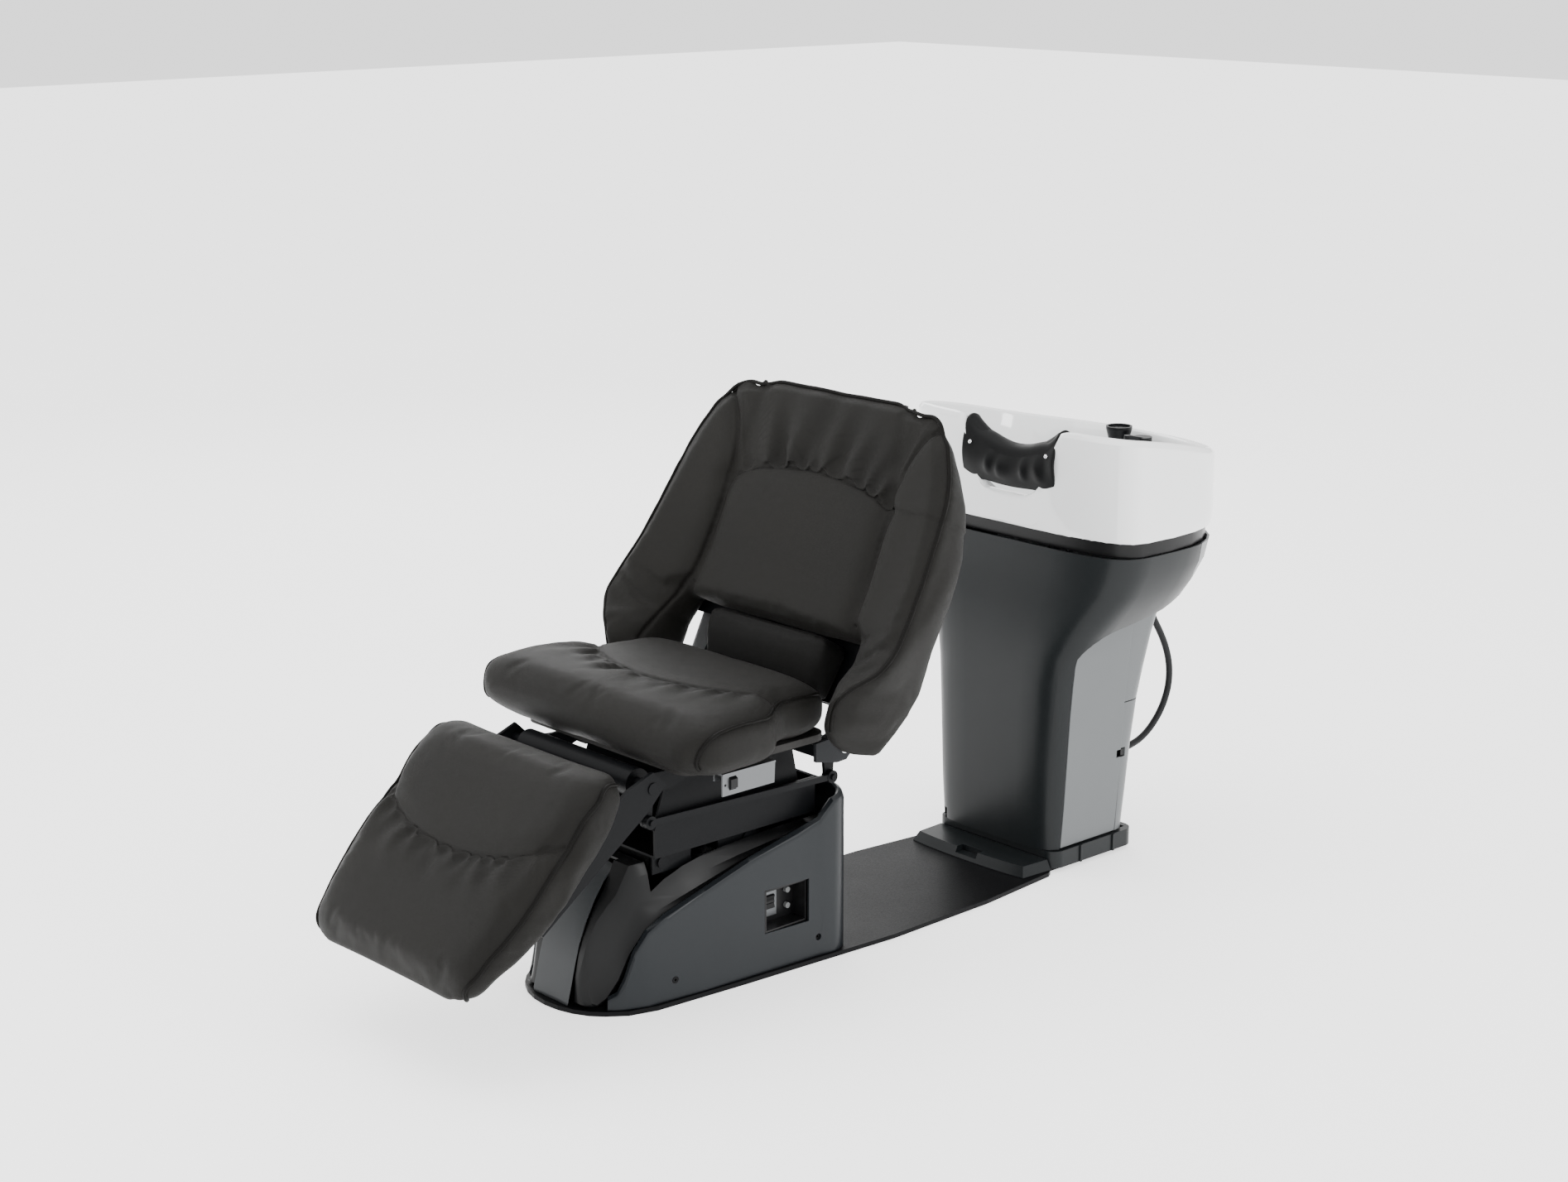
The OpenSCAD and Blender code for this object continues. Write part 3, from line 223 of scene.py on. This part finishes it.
class Finish:
    """One material, built up from named places and patterns on the object itself."""

    def __init__(self, name, **constants):
        self.material = bpy.data.materials.new(name)
        self.material.use_nodes = True
        self.tree = self.material.node_tree
        self.shader = self.tree.nodes["Principled BSDF"]
        for socket, value in constants.items():
            self.shader.inputs[socket.replace("_", " ")].default_value = value
        place = self.tree.nodes.new("ShaderNodeTexCoord")
        self.place = Term(self, place.outputs["Object"])

    def node(self, kind, settings=None, inputs=None, out=0):
        made = self.tree.nodes.new(kind)
        for key, value in (settings or {}).items():
            setattr(made, key, value)
        for key, value in (inputs or {}).items():
            if isinstance(value, Term):
                self.tree.links.new(value.socket, made.inputs[key])
            else:
                made.inputs[key].default_value = value
        return Term(self, made.outputs[out])

    def stretched(self, scale):
        return self.node("ShaderNodeMapping", None, {"Vector": self.place, "Scale": scale})

    def noise(self, scale, detail=3.0, rough=0.5, vector=None):
        return self.node("ShaderNodeTexNoise", None, {"Vector": vector or self.place, "Scale": scale,
                                                      "Detail": detail, "Roughness": rough})

    def cells(self, scale, feature="DISTANCE_TO_EDGE", vector=None):
        return self.node("ShaderNodeTexVoronoi", {"feature": feature},
                         {"Vector": vector or self.place, "Scale": scale})

    def span(self, value, low, high, to_low, to_high):
        return self.node("ShaderNodeMapRange", None, {"Value": value, "From Min": low, "From Max": high,
                                                      "To Min": to_low, "To Max": to_high})

    def blend(self, share, first, second):
        return self.node("ShaderNodeMix", {"data_type": "RGBA"}, {0: share, 6: first, 7: second}, out=2)

    def paint(self, first, second, share):
        colours = [(*c, 1) if isinstance(c, tuple) else c for c in (first, second)]
        self.wire("Base Color", self.blend(share, *colours))

    def wire(self, socket, term):
        self.tree.links.new(term.socket, self.shader.inputs[socket])

    def relief(self, height, distance, strength=1.0):
        self.wire("Normal", self.node("ShaderNodeBump", None, {
            "Height": height, "Distance": distance, "Strength": strength}))


def tone(colour, share):
    return tuple(min(1.0, c * share) for c in colour)


def vinyl(name, colour):
    """Upholstery vinyl: a fine pebbled grain with cloudy wear."""
    f = Finish(name, Sheen_Weight=0.02, Sheen_Roughness=0.5, Specular_IOR_Level=0.12)
    grain = f.cells(820)
    pores = f.noise(2600, 2)
    cloudy = f.noise(5.5, 4, 0.6)
    f.paint(tone(colour, 0.15), tone(colour, 0.28), f.span(cloudy + pores * 0.25, 0.35, 0.85, 0, 1))
    f.wire("Roughness", f.span(cloudy - grain * 0.4, 0.2, 0.75, 0.46, 0.62))
    f.relief(f.span(grain, 0, 0.25, 0, 1) + pores * 0.35 + f.noise(60, 3) * 0.8, 0.00022, 0.8)
    return f.material


def piping_vinyl(name, colour):
    f = Finish(name, Specular_IOR_Level=0.08)
    grain = f.cells(1100)
    f.paint(tone(colour, 0.08), tone(colour, 0.16), f.noise(30))
    f.wire("Roughness", f.span(f.noise(90), 0.3, 0.7, 0.42, 0.58))
    f.relief(grain, 0.00012, 0.7)
    return f.material


def moulding(name, colour, rough):
    """Moulded plastic: a satin skin, faint flow marks and a little dust low down."""
    f = Finish(name, Specular_IOR_Level=0.2)
    flow = f.noise(2.4, 3, 0.55)
    height = f.node("ShaderNodeSeparateXYZ", None, {0: f.place}, out=2)
    dust = f.span(height, 0.0, 0.35, 0.3, 0.0) * f.noise(22, 2, 0.5)
    dusty = tone(tuple(c + 0.004 for c in colour), 1.15)
    f.paint(colour, dusty, f.span(flow, 0.3, 0.8, 0, 0.6) + dust * 0.5)
    f.wire("Roughness", f.span(f.noise(14, 2, 0.5), 0.3, 0.75, rough, rough + 0.06) + dust * 0.1)
    f.relief(f.noise(260, 2), 0.00006, 0.2)
    return f.material


def painted_steel(name, colour, rough=0.36):
    """Powder coat: orange peel and thin worn lines."""
    f = Finish(name, Specular_IOR_Level=0.08)
    peel = f.noise(420, 2, 0.5)
    worn = f.span(f.noise(9, 8, 0.75), 0.66, 0.74, 0, 1)
    f.paint(tone(colour, 0.3), tone(tuple(c + 0.004 for c in colour), 0.6), worn * 0.3 + f.noise(3) * 0.2)
    f.wire("Roughness", f.span(peel + f.noise(6) * 0.6, 0.4, 1.1, rough - 0.06, rough + 0.12))
    f.relief(peel, 0.00018, 0.7)
    return f.material


def bare_metal(name, colour, rough=0.28, lines=(3, 260, 260)):
    """Turned or brushed metal: fine lines along the work."""
    f = Finish(name, Metallic=1.0)
    brush = f.noise(1.0, 4, 0.6, f.stretched(lines))
    smear = f.noise(6, 2, 0.4)
    f.paint(tone(colour, 0.9), tone(colour, 1.08), brush * 0.8 + smear * 0.2)
    f.wire("Roughness", f.span(brush + smear, 0.6, 1.4, rough - 0.1, rough + 0.14))
    f.relief(brush, 0.00005, 0.5)
    return f.material


def glaze(name, colour):
    """Sanitary glaze: a deep gloss over a slightly wavy body."""
    f = Finish(name, Coat_Weight=0.6, Coat_Roughness=0.03, Specular_IOR_Level=0.55)
    cloud = f.noise(3.2, 2)
    fleck = f.span(f.noise(240, 2), 0.7, 0.76, 0, 1)
    f.paint(colour, tone(colour, 0.955), cloud * 0.5 + fleck * 0.25)
    f.wire("Roughness", f.span(f.noise(20, 5, 0.65), 0.3, 0.75, 0.07, 0.15))
    f.relief(f.noise(16, 2), 0.0006, 0.25)
    return f.material


def soft_rubber(name, colour):
    """Cast rubber with talc in its pores."""
    f = Finish(name, Specular_IOR_Level=0.1)
    pores = f.cells(900, "F1")
    f.paint(tone(colour, 0.3), tone(tuple(c + 0.003 for c in colour), 0.6), f.noise(12, 5, 0.6))
    f.wire("Roughness", f.span(f.noise(24, 4, 0.6), 0.3, 0.7, 0.36, 0.52))
    f.relief(pores * 0.5 + f.noise(70, 4) * 1.2, 0.0002, 0.6)
    return f.material


def plywood(name, colour):
    f = Finish(name, Specular_IOR_Level=0.3)
    veins = f.noise(1.0, 6, 0.6, f.stretched((6, 90, 90)))
    f.paint(tone(colour, 0.7), tone(colour, 1.15), veins)
    f.wire("Roughness", f.span(veins, 0.3, 0.7, 0.6, 0.8))
    f.relief(veins, 0.0003, 0.6)
    return f.material


def finishes_of_record():
    """Each slot of the record with its own finish."""
    base = {m["slot"]: tuple(m["base_color"][:3]) for m in frame["record"]["materials"]}
    made = {}
    for slot in ("cover_charcoal", "cover_mid", "shell_dark", "panel_grey", "pipe_grey", "switch_black"):
        share = DARK_SHARE if max(base[slot]) < 0.15 else PALE_SHARE
        made[slot] = moulding(slot, tone(base[slot], share), 0.28)
    made["shell_silver"] = moulding("shell_silver", tone(base["shell_silver"], 0.5), 0.35)
    for slot in ("cover_black", "fitting_black", "button_grey"):
        made[slot] = moulding(slot, tone(base[slot], 0.4), 0.34)
    for slot in ("frame_black", "motor_grey", "plate_black", "screw_dark"):
        made[slot] = painted_steel(slot, base[slot])
    for slot in ("steel_bright", "brass"):
        made[slot] = bare_metal(slot, base[slot])
    made["panel_silver"] = bare_metal("panel_silver", tone(base["panel_silver"], 0.45), 0.34)
    made["chrome"] = bare_metal("chrome", base["chrome"], 0.12, (40, 40, 8))
    made["upholstery"] = vinyl("upholstery", base["upholstery"])
    made["board"] = plywood("board", base["board"])
    made["ceramic_white"] = glaze("ceramic_white", base["ceramic_white"])
    for slot in ("neck_rubber", "hose_grey"):
        made[slot] = soft_rubber(slot, base[slot])
    return made


finish_of = finishes_of_record()
cover_colour = tuple(frame["record"]["materials"][0]["base_color"][:3])
finish_of["piping"] = piping_vinyl("piping", cover_colour)
# A darker copy of the cover vinyl: painted shade for the lower back pad, which sits in shadow under the back
finish_of["shaded_vinyl"] = vinyl("shaded_vinyl", tone(cover_colour, 0.35))
slot_of = {s["node"]: s["material_slot"] for s in frame["record"]["subparts"]}


def dress(piece, slot):
    piece.data.materials.clear()
    piece.data.materials.append(finish_of[slot])
    return piece


for node_name, node in nodes.items():
    node.data.materials.clear()
    node.data.materials.append(finish_of[slot_of[node_name]])


# ---- Shower hose loop ----
HOSE_D = 0.013
HOSE_PLACES = [
    (0.095, 0.798, 0.480), (0.095, 0.798, 0.468), (0.095, 0.801, 0.452), (0.095, 0.809, 0.434),
    (0.095, 0.820, 0.415), (0.095, 0.833, 0.396), (0.095, 0.846, 0.375), (0.095, 0.857, 0.353),
    (0.095, 0.865, 0.330), (0.095, 0.869, 0.306), (0.095, 0.868, 0.281), (0.095, 0.861, 0.257),
    (0.095, 0.849, 0.235), (0.095, 0.832, 0.215), (0.095, 0.811, 0.198), (0.095, 0.787, 0.186),
    (0.095, 0.762, 0.180), (0.095, 0.742, 0.178), (0.095, 0.730, 0.178)]


def tube(name, points, radius, sides=16, looped=False):
    """A round tube along a line of points, with closed ends."""
    line = bpy.data.curves.new(name, "CURVE")
    line.dimensions = "3D"
    line.bevel_depth = radius
    line.bevel_resolution = sides // 4 - 1
    line.use_fill_caps = not looped
    spline = line.splines.new("POLY")
    spline.points.add(len(points) - 1)
    spline.use_cyclic_u = looped
    for place, point in zip(points, spline.points):
        point.co = (*place, 1)
    piece = bpy.data.objects.new(name, line)
    bpy.context.scene.collection.objects.link(piece)
    pick(piece)
    bpy.ops.object.convert(target="MESH")
    piece = bpy.context.object
    bpy.ops.object.shade_smooth()
    return piece


def hang_hose():
    line = curve_through(HOSE_PLACES, 96)
    hose = tube("shower_hose_loop", [tuple(p) for p in line], HOSE_D / 2, 20)
    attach(hose, body_of["shower_hose"])
    dress(hose, "hose_grey")
    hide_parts("shower_hose")


hang_hose()


# ---- Upholstery ----
def stuffed(name, source_nodes, voxel, pressure, cap):
    """One cover round the given solids, swollen by its filling."""
    pieces = [copy_of(n) for n in source_nodes]
    nothing_selected()
    for piece in pieces:
        piece.select_set(True)
    bpy.context.view_layer.objects.active = pieces[0]
    if len(pieces) > 1:
        bpy.ops.object.join()
    pad = pick(bpy.context.object)
    remesh = pad.modifiers.new("even", "REMESH")
    remesh.mode = "VOXEL"
    remesh.voxel_size = voxel
    soften = pad.modifiers.new("soften", "SMOOTH")
    soften.iterations = 6
    apply_all(pad)
    before = read_points(pad.data)
    cloth = pad.modifiers.new("cover", "CLOTH")
    cloth.settings.use_pressure = True
    cloth.settings.uniform_pressure_force = pressure
    cloth.settings.effector_weights.gravity = 0
    cloth.settings.tension_stiffness = 25
    cloth.settings.compression_stiffness = 25
    scene = bpy.context.scene
    for step in range(1, 21):
        scene.frame_set(step)
    shaped = pad.evaluated_get(bpy.context.evaluated_depsgraph_get())
    after = read_points(shaped.data)
    pad.modifiers.remove(cloth)
    scene.frame_set(1)
    move = after - before
    far = np.linalg.norm(move, axis=1, keepdims=True)
    write_points(pad.data, before + move * np.minimum(1, cap / np.maximum(far, 1e-9)))
    relax = pad.modifiers.new("relax", "SMOOTH")
    relax.iterations = 3
    apply_all(pad)
    finer = pad.modifiers.new("finer", "SUBSURF")
    finer.levels = finer.render_levels = 1
    apply_all(pad)
    bpy.ops.object.shade_smooth()
    pad.name = name
    return pad


def surface_of(pad):
    mesh = pad.data
    return BVHTree.FromPolygons([v.co for v in mesh.vertices], [p.vertices[:] for p in mesh.polygons])


def laid_on(tree, points):
    """The places on a pad's surface nearest to the given points."""
    return np.array([tree.find_nearest(Vector(p))[0] for p in points])


def nearest_on(points, line):
    """For each point, its distance to a line and the nearest line point's number."""
    best = np.full(len(points), 1e9)
    which = np.zeros(len(points), int)
    for i, place in enumerate(line):
        d = np.linalg.norm(points - place, axis=1)
        closer = d < best
        best[closer] = d[closer]
        which[closer] = i
    return best, which


def sew(pad, line, depth=0.005, width=0.0045, plump=0.004, spread=0.022):
    """Pulls the cover in along a seam, and softly on both sides of it."""
    points, normals = read_points(pad.data), read_normals(pad.data)
    near = np.nonzero(np.min(np.abs(points[:, None, :] - line[None, ::8, :]).max(2), axis=1) < 0.08)[0]
    d, _ = nearest_on(points[near], line)
    pull = depth * np.exp(-(d / width) ** 2) + plump * np.exp(-(d / spread) ** 2)
    points[near] -= normals[near] * pull[:, None]
    write_points(pad.data, points)


def gather(pad, line, direction, reach, depth, folds, ends=(0.06, 0.94), seed=1):
    """Small folds that run from a seam along a direction and fade out."""
    points, normals = read_points(pad.data), read_normals(pad.data)
    away = np.array(direction, float)
    away /= np.linalg.norm(away)
    d, which = nearest_on(points, line)
    share = which / (len(line) - 1)
    out = (points - line[which]) @ away
    rng = np.random.default_rng(seed)
    centres = np.linspace(ends[0], ends[1], folds) + rng.uniform(-0.3, 0.3, folds) / folds
    height = np.zeros(len(points))
    for centre in centres:
        lean = rng.uniform(-0.35, 0.35) / folds
        long = reach * rng.uniform(0.55, 1.1)
        wide = 0.26 / folds * rng.uniform(0.8, 1.3)
        along = np.clip(out / long, 0, 1)
        middle = centre + lean * along * 3
        fade = (1 - along) ** 1.5 * np.clip(out / 0.006, 0, 1)
        spread = wide * (1 + 1.6 * along)
        height -= rng.uniform(0.7, 1.2) * fade * np.exp(-((share - middle) / spread) ** 2)
        height += 0.45 * fade * np.exp(-((share - middle - 2.1 * spread) / spread) ** 2)
    height[(d > reach * 1.25) | (out < 0)] = 0
    points += normals * (depth * height)[:, None]
    write_points(pad.data, points)


def pipe_edge(name, tree, points, body, count=160):
    """A covered piping cord sewn into an edge."""
    line = curve_through(points, count)
    placed = []
    for p in line:
        spot, normal, _, _ = tree.find_nearest(Vector(p))
        placed.append(spot + normal * PIPING_R * PIPING_SHOWS)
    placed = curve_through([tuple(q) for q in placed[::4]] + [tuple(placed[-1])], count)
    cord = tube(name, [tuple(p) for p in placed], PIPING_R, 12)
    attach(cord, body)
    return dress(cord, "piping"), placed


def in_axes(axes, points):
    return [tuple(axes @ Vector(p)) for p in points]


def corner_line(pad, axes, heights, across, outward, side):
    """The pad's front corner, seen along its length: furthest across and out at each height."""
    local = np.array([axes.inverted() @ v.co for v in pad.data.vertices])
    found = []
    for height in heights:
        row = local[(np.abs(local[:, 2] - height) < 0.006) & (local[:, 0] * side > 0)]
        if len(row):
            best = row[np.argmax(row[:, 0] * side * across + row[:, 1] * outward)]
            found.append(tuple(best))
    return found


def crown_line(pad, axes, places):
    """The pad's top front corner at each place across, from the right to the middle."""
    local = np.array([axes.inverted() @ v.co for v in pad.data.vertices])
    found = []
    for place in places:
        row = local[np.abs(local[:, 0] - place) < 0.006]
        found.append((place, *row[np.argmax(row[:, 2] - row[:, 1] * 0.9)][1:]))
    return found


def make_back():
    pad = stuffed("back_upholstery", ["back_cushion", "back_wing_left", "back_wing_right"],
                  0.0062, 3.0, 0.006)
    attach(pad, "back")
    heights = [0.0, 0.03, 0.06, 0.09, 0.12, 0.16, 0.2, 0.26, 0.32, 0.38, 0.43, 0.47, 0.5, 0.525]
    right = corner_line(pad, BACK_AXES, heights, 1.0, -0.9, 1)
    crown = crown_line(pad, BACK_AXES, (0.235, 0.2, 0.15, 0.1, 0.05, 0.0))
    edge = right + crown + mirrored(crown[-2::-1]) + mirrored(right[::-1])
    side_seam = [(0.262, -0.13, 0.535), (0.238, -0.12, 0.515), (0.214, -0.112, 0.475),
                 (0.203, -0.105, 0.43), (0.200, -0.1, 0.385), (0.199, -0.095, 0.3),
                 (0.203, -0.095, 0.2), (0.222, -0.1, 0.13), (0.236, -0.12, 0.06)]
    lumbar = [(-0.2, -0.1, 0.385), (-0.12, -0.1, 0.412), (0, -0.1, 0.424), (0.12, -0.1, 0.412),
              (0.2, -0.1, 0.385)]
    tree = surface_of(pad)
    seams = [laid_on(tree, in_axes(BACK_AXES, curve_through(s, n))) for s, n in (
        (side_seam, 180), (mirrored(side_seam), 180), (lumbar, 150))]
    up = BACK_AXES.to_3x3() @ Vector((0, 0, 1))
    gather(pad, seams[2], up, 0.19, 0.0085, 11, (0.08, 0.93), 4)
    sew(pad, seams[0])
    sew(pad, seams[1])
    sew(pad, seams[2], depth=0.006, plump=0.006)
    tree = surface_of(pad)
    line = curve_through(in_axes(BACK_AXES, edge), 260)
    sew(pad, laid_on(tree, line), depth=0.0015, width=0.008, plump=0.001, spread=0.02)
    pipe_edge("back_piping", surface_of(pad), in_axes(BACK_AXES, edge), "back", 300)
    dress(pad, "upholstery")
    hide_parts("back_cushion", "back_wing_left", "back_wing_right")


def make_seat():
    pad = stuffed("seat_upholstery", ["seat_cushion"], 0.0058, 3.0, 0.007)
    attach(pad, "seat")
    low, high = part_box("seat_cushion")
    half = high.x
    edge = [(half * 0.76, -0.15, high.z - 0.012), (half * 0.775, -0.2, high.z - 0.008),
            (half * 0.79, -0.245, high.z - 0.006), (half * 0.87, -0.285, high.z - 0.008),
            (half * 0.965, -0.33, high.z - 0.006), (half * 0.985, -0.391, high.z - 0.004),
            (half * 0.985, -0.432, high.z - 0.008), (half * 0.975, -0.462, high.z - 0.022),
            (half * 0.965, -0.482, high.z - 0.045), (half * 0.95, -0.488, high.z - 0.068),
            (half * 0.93, -0.478, low.z + 0.01)]
    smile = [(-0.232, -0.262, high.z), (-0.17, -0.312, high.z), (-0.1, -0.345, high.z),
             (0, -0.362, high.z), (0.1, -0.345, high.z), (0.17, -0.312, high.z), (0.232, -0.262, high.z)]
    tree = surface_of(pad)
    seam = laid_on(tree, curve_through(smile, 200))
    gather(pad, seam, (0, -1, 0), 0.12, 0.0065, 15, (0.12, 0.88), 7)
    sew(pad, seam, depth=0.004, plump=0.004)
    for points in (edge, mirrored(edge)):
        sew(pad, laid_on(surface_of(pad), curve_through(points, 160)), 0.0015, 0.008, 0.0005)
    pipe_edge("seat_piping_right", surface_of(pad), edge, "seat")
    pipe_edge("seat_piping_left", surface_of(pad), mirrored(edge), "seat")
    dress(pad, "upholstery")
    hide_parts("seat_cushion")


def make_leg_rest():
    pad = stuffed("leg_upholstery", ["leg_cushion"], 0.0055, 3.0, 0.006)
    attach(pad, "legrest")
    local = np.array([LEG_AXES.inverted() @ v.co for v in pad.data.vertices])
    top = local[:, 1].max()
    end = local[:, 2].max()
    heights = [0.05, 0.08, 0.12, 0.17, 0.23, 0.29, 0.34, 0.38, 0.41, 0.435]
    right = corner_line(pad, LEG_AXES, heights, 1.0, 0.8, 1)
    right = [(right[0][0] - 0.006, right[0][1] - 0.03, 0.03)] + right
    right.append((right[-1][0] - 0.008, right[-1][1] - 0.03, end - 0.006))
    smile = [(-0.233, top, 0.17), (-0.16, top, 0.215), (-0.08, top, 0.237), (0, top, 0.243),
             (0.08, top, 0.237), (0.16, top, 0.215), (0.233, top, 0.17)]
    seam = laid_on(surface_of(pad), in_axes(LEG_AXES, curve_through(smile, 200)))
    down = LEG_AXES.to_3x3() @ Vector((0, 0, 1))
    gather(pad, seam, down, 0.1, 0.0065, 14, (0.08, 0.9), 11)
    sew(pad, seam, depth=0.004, plump=0.005)
    edge = in_axes(LEG_AXES, right)
    other = in_axes(LEG_AXES, mirrored(right))
    for points in (edge, other):
        sew(pad, laid_on(surface_of(pad), curve_through(points, 160)), 0.0015, 0.008, 0.0005)
    pipe_edge("leg_piping_right", surface_of(pad), edge, "legrest")
    pipe_edge("leg_piping_left", surface_of(pad), other, "legrest")
    dress(pad, "upholstery")
    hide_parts("leg_cushion")


def make_lower_cover():
    pad = stuffed("back_lower_pad", ["back_lower_cover"], 0.005, 2.0, 0.003)
    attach(pad, "back")
    dress(pad, "upholstery")
    # The lower pad wears the darker vinyl copy: painted shade where it sits in shadow
    pad.data.materials[0] = finish_of["shaded_vinyl"]
    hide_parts("back_lower_cover")


make_back()
make_seat()
make_leg_rest()
make_lower_cover()


# ---- Hard mouldings ----
def smooth_shell(node, angle=32, edge=0.0012, levels=0):
    """A finished copy of a moulding: joined up, its sharp edges broken and its faces shaded smooth."""
    piece = copy_of(node)
    bpy.ops.object.mode_set(mode="EDIT")
    bpy.ops.mesh.select_all(action="SELECT")
    bpy.ops.mesh.dissolve_limited(angle_limit=math.radians(0.8))
    bpy.ops.object.mode_set(mode="OBJECT")
    if levels:
        bpy.ops.object.mode_set(mode="EDIT")
        bpy.ops.mesh.select_all(action="SELECT")
        flat = math.radians(40)
        bpy.ops.mesh.tris_convert_to_quads(face_threshold=flat, shape_threshold=flat)
        bpy.ops.mesh.select_all(action="DESELECT")
        bpy.ops.mesh.select_mode(type="EDGE")
        bpy.ops.mesh.edges_select_sharp(sharpness=math.radians(angle + 6))
        bpy.ops.transform.edge_crease(value=0.9)
        bpy.ops.object.mode_set(mode="OBJECT")
        finer = piece.modifiers.new("finer", "SUBSURF")
        finer.levels = finer.render_levels = levels
    if edge:
        broken = piece.modifiers.new("broken_edges", "BEVEL")
        broken.width = edge
        broken.segments = 2
        broken.limit_method = "ANGLE"
        broken.angle_limit = math.radians(angle + 8)
    apply_all(piece)
    pick(piece)
    bpy.ops.object.shade_smooth_by_angle(angle=math.radians(angle))
    even = piece.modifiers.new("even_shine", "WEIGHTED_NORMAL")
    even.keep_sharp = True
    apply_all(piece)
    piece.name = node + "_finished"
    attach(piece, body_of[node])
    dress(piece, slot_of[node])
    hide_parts(node)
    return piece


for shell in ("base_side_cover", "base_inner_cover", "base_front_panel", "pedestal_front_shell",
              "side_panel_left", "side_panel_right", "rear_hood", "service_cover", "back_shell",
              "foot_flange", "plinth", "collar_band"):
    smooth_shell(shell)
smooth_shell("basin", 30, 0, 2)


# ---- Neck rest ----
# Radius of the cover's roll, place of its middle along Y, and radius of the tube inside it
ROLL_R = 0.019
ROLL_Y = 0.531
ROLL_TUBE_R = 0.0172


def saddle_top(x):
    """Height of the neck rest's roll across the basin's front."""
    return 0.826 - 0.046 * max(0.0, 1 - (x / 0.116) ** 2)


def make_neck_rest():
    """A soft saddle: a roll over the rim that hangs down in folds over the neck cut."""
    bpy.ops.mesh.primitive_grid_add(x_subdivisions=72, y_subdivisions=48, size=2)
    pad = bpy.context.object
    rng = np.random.default_rng(5)
    folds = [(rng.uniform(-0.9, 0.9), rng.uniform(0.05, 0.12), rng.uniform(0.6, 1.0)) for _ in range(9)]
    points = read_points(pad.data)
    for i, (s, t, _) in enumerate(points.copy()):
        x = 0.114 * s
        top = saddle_top(x)
        along = (t + 1) / 2
        sag = 0.006 * math.exp(-((abs(s) - 0.8) / 0.2) ** 2)
        if along < 0.5:
            turn = math.radians(-50 + 230 * along / 0.5)
            y = ROLL_Y + ROLL_R * math.cos(turn)
            z = top - ROLL_R + ROLL_R * math.sin(turn)
        else:
            down = (along - 0.5) / 0.5
            low = 0.706 + 0.012 * s * s
            fold = sum(h * math.exp(-((s - c - 0.2 * down * c) / w) ** 2) for c, w, h in folds)
            fold *= 0.0036 * math.sin(math.pi * min(1, down * 1.3))
            y = ROLL_Y - ROLL_R - 0.008 * math.sin(math.pi * down) - fold
            z = top - ROLL_R + (low - top + ROLL_R) * down
        points[i] = (x, y, z - sag)
    write_points(pad.data, points)
    pick(pad)
    bpy.ops.object.mode_set(mode="EDIT")
    bpy.ops.mesh.select_all(action="SELECT")
    bpy.ops.mesh.normals_make_consistent(inside=False)
    bpy.ops.object.mode_set(mode="OBJECT")
    thick = pad.modifiers.new("thick", "SOLIDIFY")
    thick.thickness = 0.006
    thick.offset = 0
    finer = pad.modifiers.new("finer", "SUBSURF")
    finer.levels = finer.render_levels = 1
    apply_all(pad)
    bpy.ops.object.shade_smooth()
    pad.name = "neck_rest_soft"
    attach(pad, body_of.get("neck_rest", "base"))
    dress(pad, "neck_rubber")
    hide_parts("neck_rest")
    middle = [(x, ROLL_Y, saddle_top(x) - ROLL_R) for x in np.linspace(-0.112, 0.112, 40)]
    roll = tube("neck_rest_roll", middle, ROLL_TUBE_R, 24)
    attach(roll, "base")
    dress(roll, "neck_rubber")
    for side in (-1, 1):
        bpy.ops.mesh.primitive_torus_add(location=(side * 0.113, ROLL_Y, saddle_top(0.113) - ROLL_R),
                                         rotation=(0, math.pi / 2, 0), major_radius=0.0145,
                                         minor_radius=0.0042, major_segments=32, minor_segments=12)
        bead = bpy.context.object
        bpy.ops.object.shade_smooth()
        bake_place(bead, "neck_rest_end_" + ("left" if side < 0 else "right"), "base")
        dress(bead, "neck_rubber")
        bpy.ops.mesh.primitive_uv_sphere_add(segments=20, ring_count=12, radius=0.0042,
                                             location=(side * 0.094, 0.5035, 0.776))
        stud = bpy.context.object
        bpy.ops.object.shade_smooth()
        bake_place(stud, "neck_rest_stud_" + ("left" if side < 0 else "right"), "base")
        dress(stud, "chrome")


make_neck_rest()


def recess_plate():
    """The bright plate round the main switch."""
    bpy.ops.mesh.primitive_cube_add(size=1, location=(0.1219, -0.194, 0.115))
    plate = bpy.context.object
    plate.scale = (0.0016, 0.040, 0.052)
    bake_place(plate, "main_switch_plate", "base")
    rounded = plate.modifiers.new("rounded", "BEVEL")
    rounded.width = 0.0006
    rounded.segments = 2
    apply_all(plate)
    dress(plate, "panel_silver")


recess_plate()


def floor():
    bpy.ops.mesh.primitive_plane_add(size=40, location=(0, 0, 0))
    ground = bpy.context.object
    ground.name = "studio_floor"
    f = Finish("studio_floor", Roughness=0.8, Specular_IOR_Level=0.1, Emission_Strength=FLOOR_GLOW)
    f.paint((0.88, 0.88, 0.88), (0.92, 0.92, 0.92), f.noise(1.5))
    f.shader.inputs["Emission Color"].default_value = (1, 1, 1, 1)
    ground.data.materials.append(f.material)


floor()
